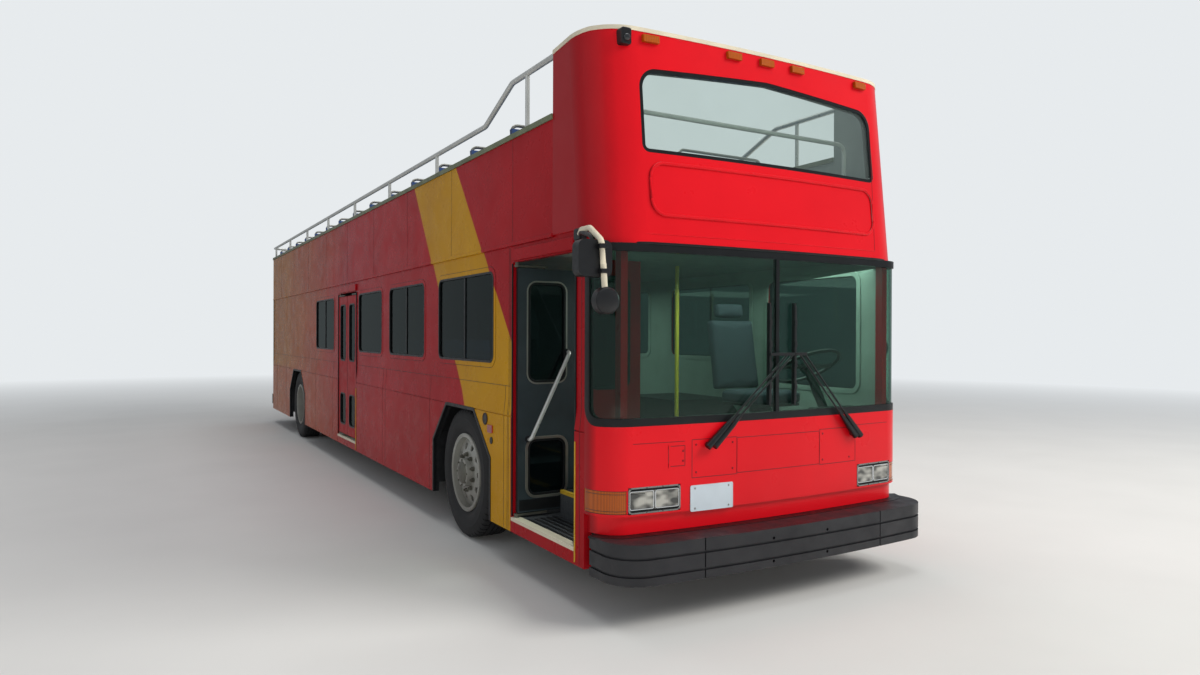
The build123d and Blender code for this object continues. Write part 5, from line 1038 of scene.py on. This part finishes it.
cushion = stuffed("seat_cushion", (0.445, 0.445, 0.085), 0.030,
                  Matrix.Translation((SEAT_X, BASE_Y, SEAT_Z - 0.056)))
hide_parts("driver_seat")
stuffed("seat_back", (0.440, 0.560, 0.078), 0.028, BACK @ Matrix.Translation((0, 0.270, -0.050)))
stuffed("seat_headrest", (0.260, 0.105, 0.070), 0.026, BACK @ Matrix.Translation((0, 0.622, -0.050)))
part = Part()
for k in range(8):
    z = 0.7005 + 0.046 * k
    low, high = (0.088, 0.076) if k % 2 else (0.076, 0.088)
    part.rod((SEAT_X, BASE_Y, z), (SEAT_X, BASE_Y, z + 0.046), low, 28, high)
part.finish("seat_bellows", "rubber", smooth=True)
part = Part()
part.slab(round_rect(-0.215, -0.215, 0.215, 0.215, 0.04), 0.0, 0.020,
          lambda u, v, w: (SEAT_X + u, BASE_Y + v, 1.064 + w))
part.finish("seat_pan", "trim_black", edge=0.004)
part = Part()
part.slab(round_rect(-5.735, 1.000, -5.600, 1.105, 0.030), 0.520, 0.900, lambda u, v, w: (w, u, v))
part.finish("instrument_hood", "trim_black", edge=0.012, segments=3)
part = Part()
for x in (0.590, 0.690, 0.790):
    part.rod((x, -5.6005, 1.052), (x, -5.5960, 1.052), 0.034, 24)
part.finish("dials", "white_and_painted_lit_rail", smooth=True)

# Upper benches: a grab tube along each backrest's top and a seam between its two places;
# the left ones leave out the stairwell
DECK, BENCH_OUT, BENCH_IN = 2.200, 1.138, 0.302
tubes, seams = Part(), Part()
for k in range(14):
    y = NOSE + 1.400 + 0.770 * k
    for sign in (-1, 1):
        if sign > 0 and -2.620 <= y <= 0.190:
            continue
        x_out, x_in, top = sign * BENCH_OUT, sign * BENCH_IN, y + 0.060
        tubes.path(rounded([(x_out, top, DECK + 0.640), (x_out, top + 0.012, DECK + 0.862),
                            (x_in, top + 0.012, DECK + 0.862), (x_in, top, DECK + 0.640)], 0.045, 4), 0.012)
        middle = (x_out + x_in) / 2
        seams.box((middle - 0.003, y - 0.395, DECK + 0.4345), (middle + 0.003, y - 0.080, DECK + 0.4395))
tubes.finish("bench_rails", "steel", smooth=True)
seams.finish("bench_seams", "trim_black")

# Floor and world, which show a pale backdrop to the camera and a dimmer one in reflections
BACKDROP = (0.80, 0.83, 0.85, 1)
pale = Shader("studio_floor", 0.75, spec=0.2)
pale.worn(rgb("dcdbd8"), 0.02, 1.0)
x2, y2 = (pale.math("POWER", pale.axes[i], 2.0) for i in (0, 1))
far = pale.ramp(pale.math("POWER", pale.math("ADD", x2, y2), 0.5), 8.0, 24.0)
glossy = pale.ray("Glossy")
glow = pale.node("ShaderNodeEmission", 0, {0: BACKDROP, 1: pale.math("MULTIPLY_ADD", glossy, -0.52, 1.0)})
share = pale.math("MULTIPLY", far, pale.math("MAXIMUM", pale.ray("Camera"), glossy))
pale.show(pale.blend(share, pale.bsdf.outputs[0], glow))
bm = bmesh.new()
bmesh.ops.create_grid(bm, x_segments=2, y_segments=2, size=60)
ground = mesh_object("studio_floor", bm)
ground.data.materials.append(M["studio_floor"])

world = bpy.data.worlds.new("studio")
bpy.context.scene.world = world
world.use_nodes = True
sky = Tree(world.node_tree)
light = sky.tree.nodes["Background"]
light.inputs[0].default_value = (0.86, 0.92, 1.0, 1)
light.inputs[1].default_value = 0.30
share = sky.math("MULTIPLY_ADD", sky.ray("Glossy"), 0.22,
                 sky.math("MAXIMUM", sky.ray("Camera"), sky.ray("Transmission")))
backdrop = sky.node("ShaderNodeBackground", 0, {0: BACKDROP})
sky.show(sky.blend(share, light.outputs[0], backdrop), "World Output")


def area(name, place, target, size, power, colour=(1, 1, 1)):
    """Rectangular lamp that points at target."""
    lamp = bpy.data.lights.new(name, "AREA")
    lamp.shape = "RECTANGLE"
    lamp.size, lamp.size_y = size
    lamp.energy, lamp.color = power, colour
    o = in_scene(name, lamp)
    o.location = place
    o.rotation_euler = (Vector(target) - Vector(place)).to_track_quat("-Z", "Y").to_euler()
    return o


area("key", (10.0, -14.5, 11.5), (0, -5.5, 1.5), (9, 7), 2350, (1.0, 0.98, 0.94)).visible_glossy = False
area("front", (-7.0, -18.0, 2.6), (-1, -6, 1.2), (8, 3), 480, (1.0, 0.97, 0.94)).visible_glossy = False
for name, place, target, power in (("cab", (0.5, -5.1, 2.04), (0.5, -5.2, 0.5), 24),
                                   ("saloon", (0, -2.6, 2.04), (0, -2.6, 0.5), 16)):
    area(name, place, target, (1.4, 1.0), power, (0.95, 1.0, 0.95)).visible_camera = False
area("fill", (-14.0, -6.0, 8.0), (-1, -1, 1.5), (12, 6), 90, (0.92, 0.96, 1.0))
area("top", (0.0, 0.0, 14.0), (0, 0, 0), (10, 18), 950)

# Camera at the photograph's place
camera = bpy.data.cameras.new("photo")
camera.sensor_width = 36.0
camera.lens = 810 / 1200 * 36
camera.clip_start, camera.clip_end = 0.05, 200
shot = in_scene("photo", camera)
yaw, tilt, roll = (math.radians(a) for a in (-30.175, 89.796, 0.2))
turn = Matrix.Rotation(yaw, 4, "Z") @ Matrix.Rotation(tilt, 4, "X") @ Matrix.Rotation(roll, 4, "Z")
shot.matrix_world = Matrix.Translation((-3.461, -9.654, 1.592)) @ turn
bpy.context.scene.camera = shot
bpy.context.scene.view_settings.view_transform = "Standard"
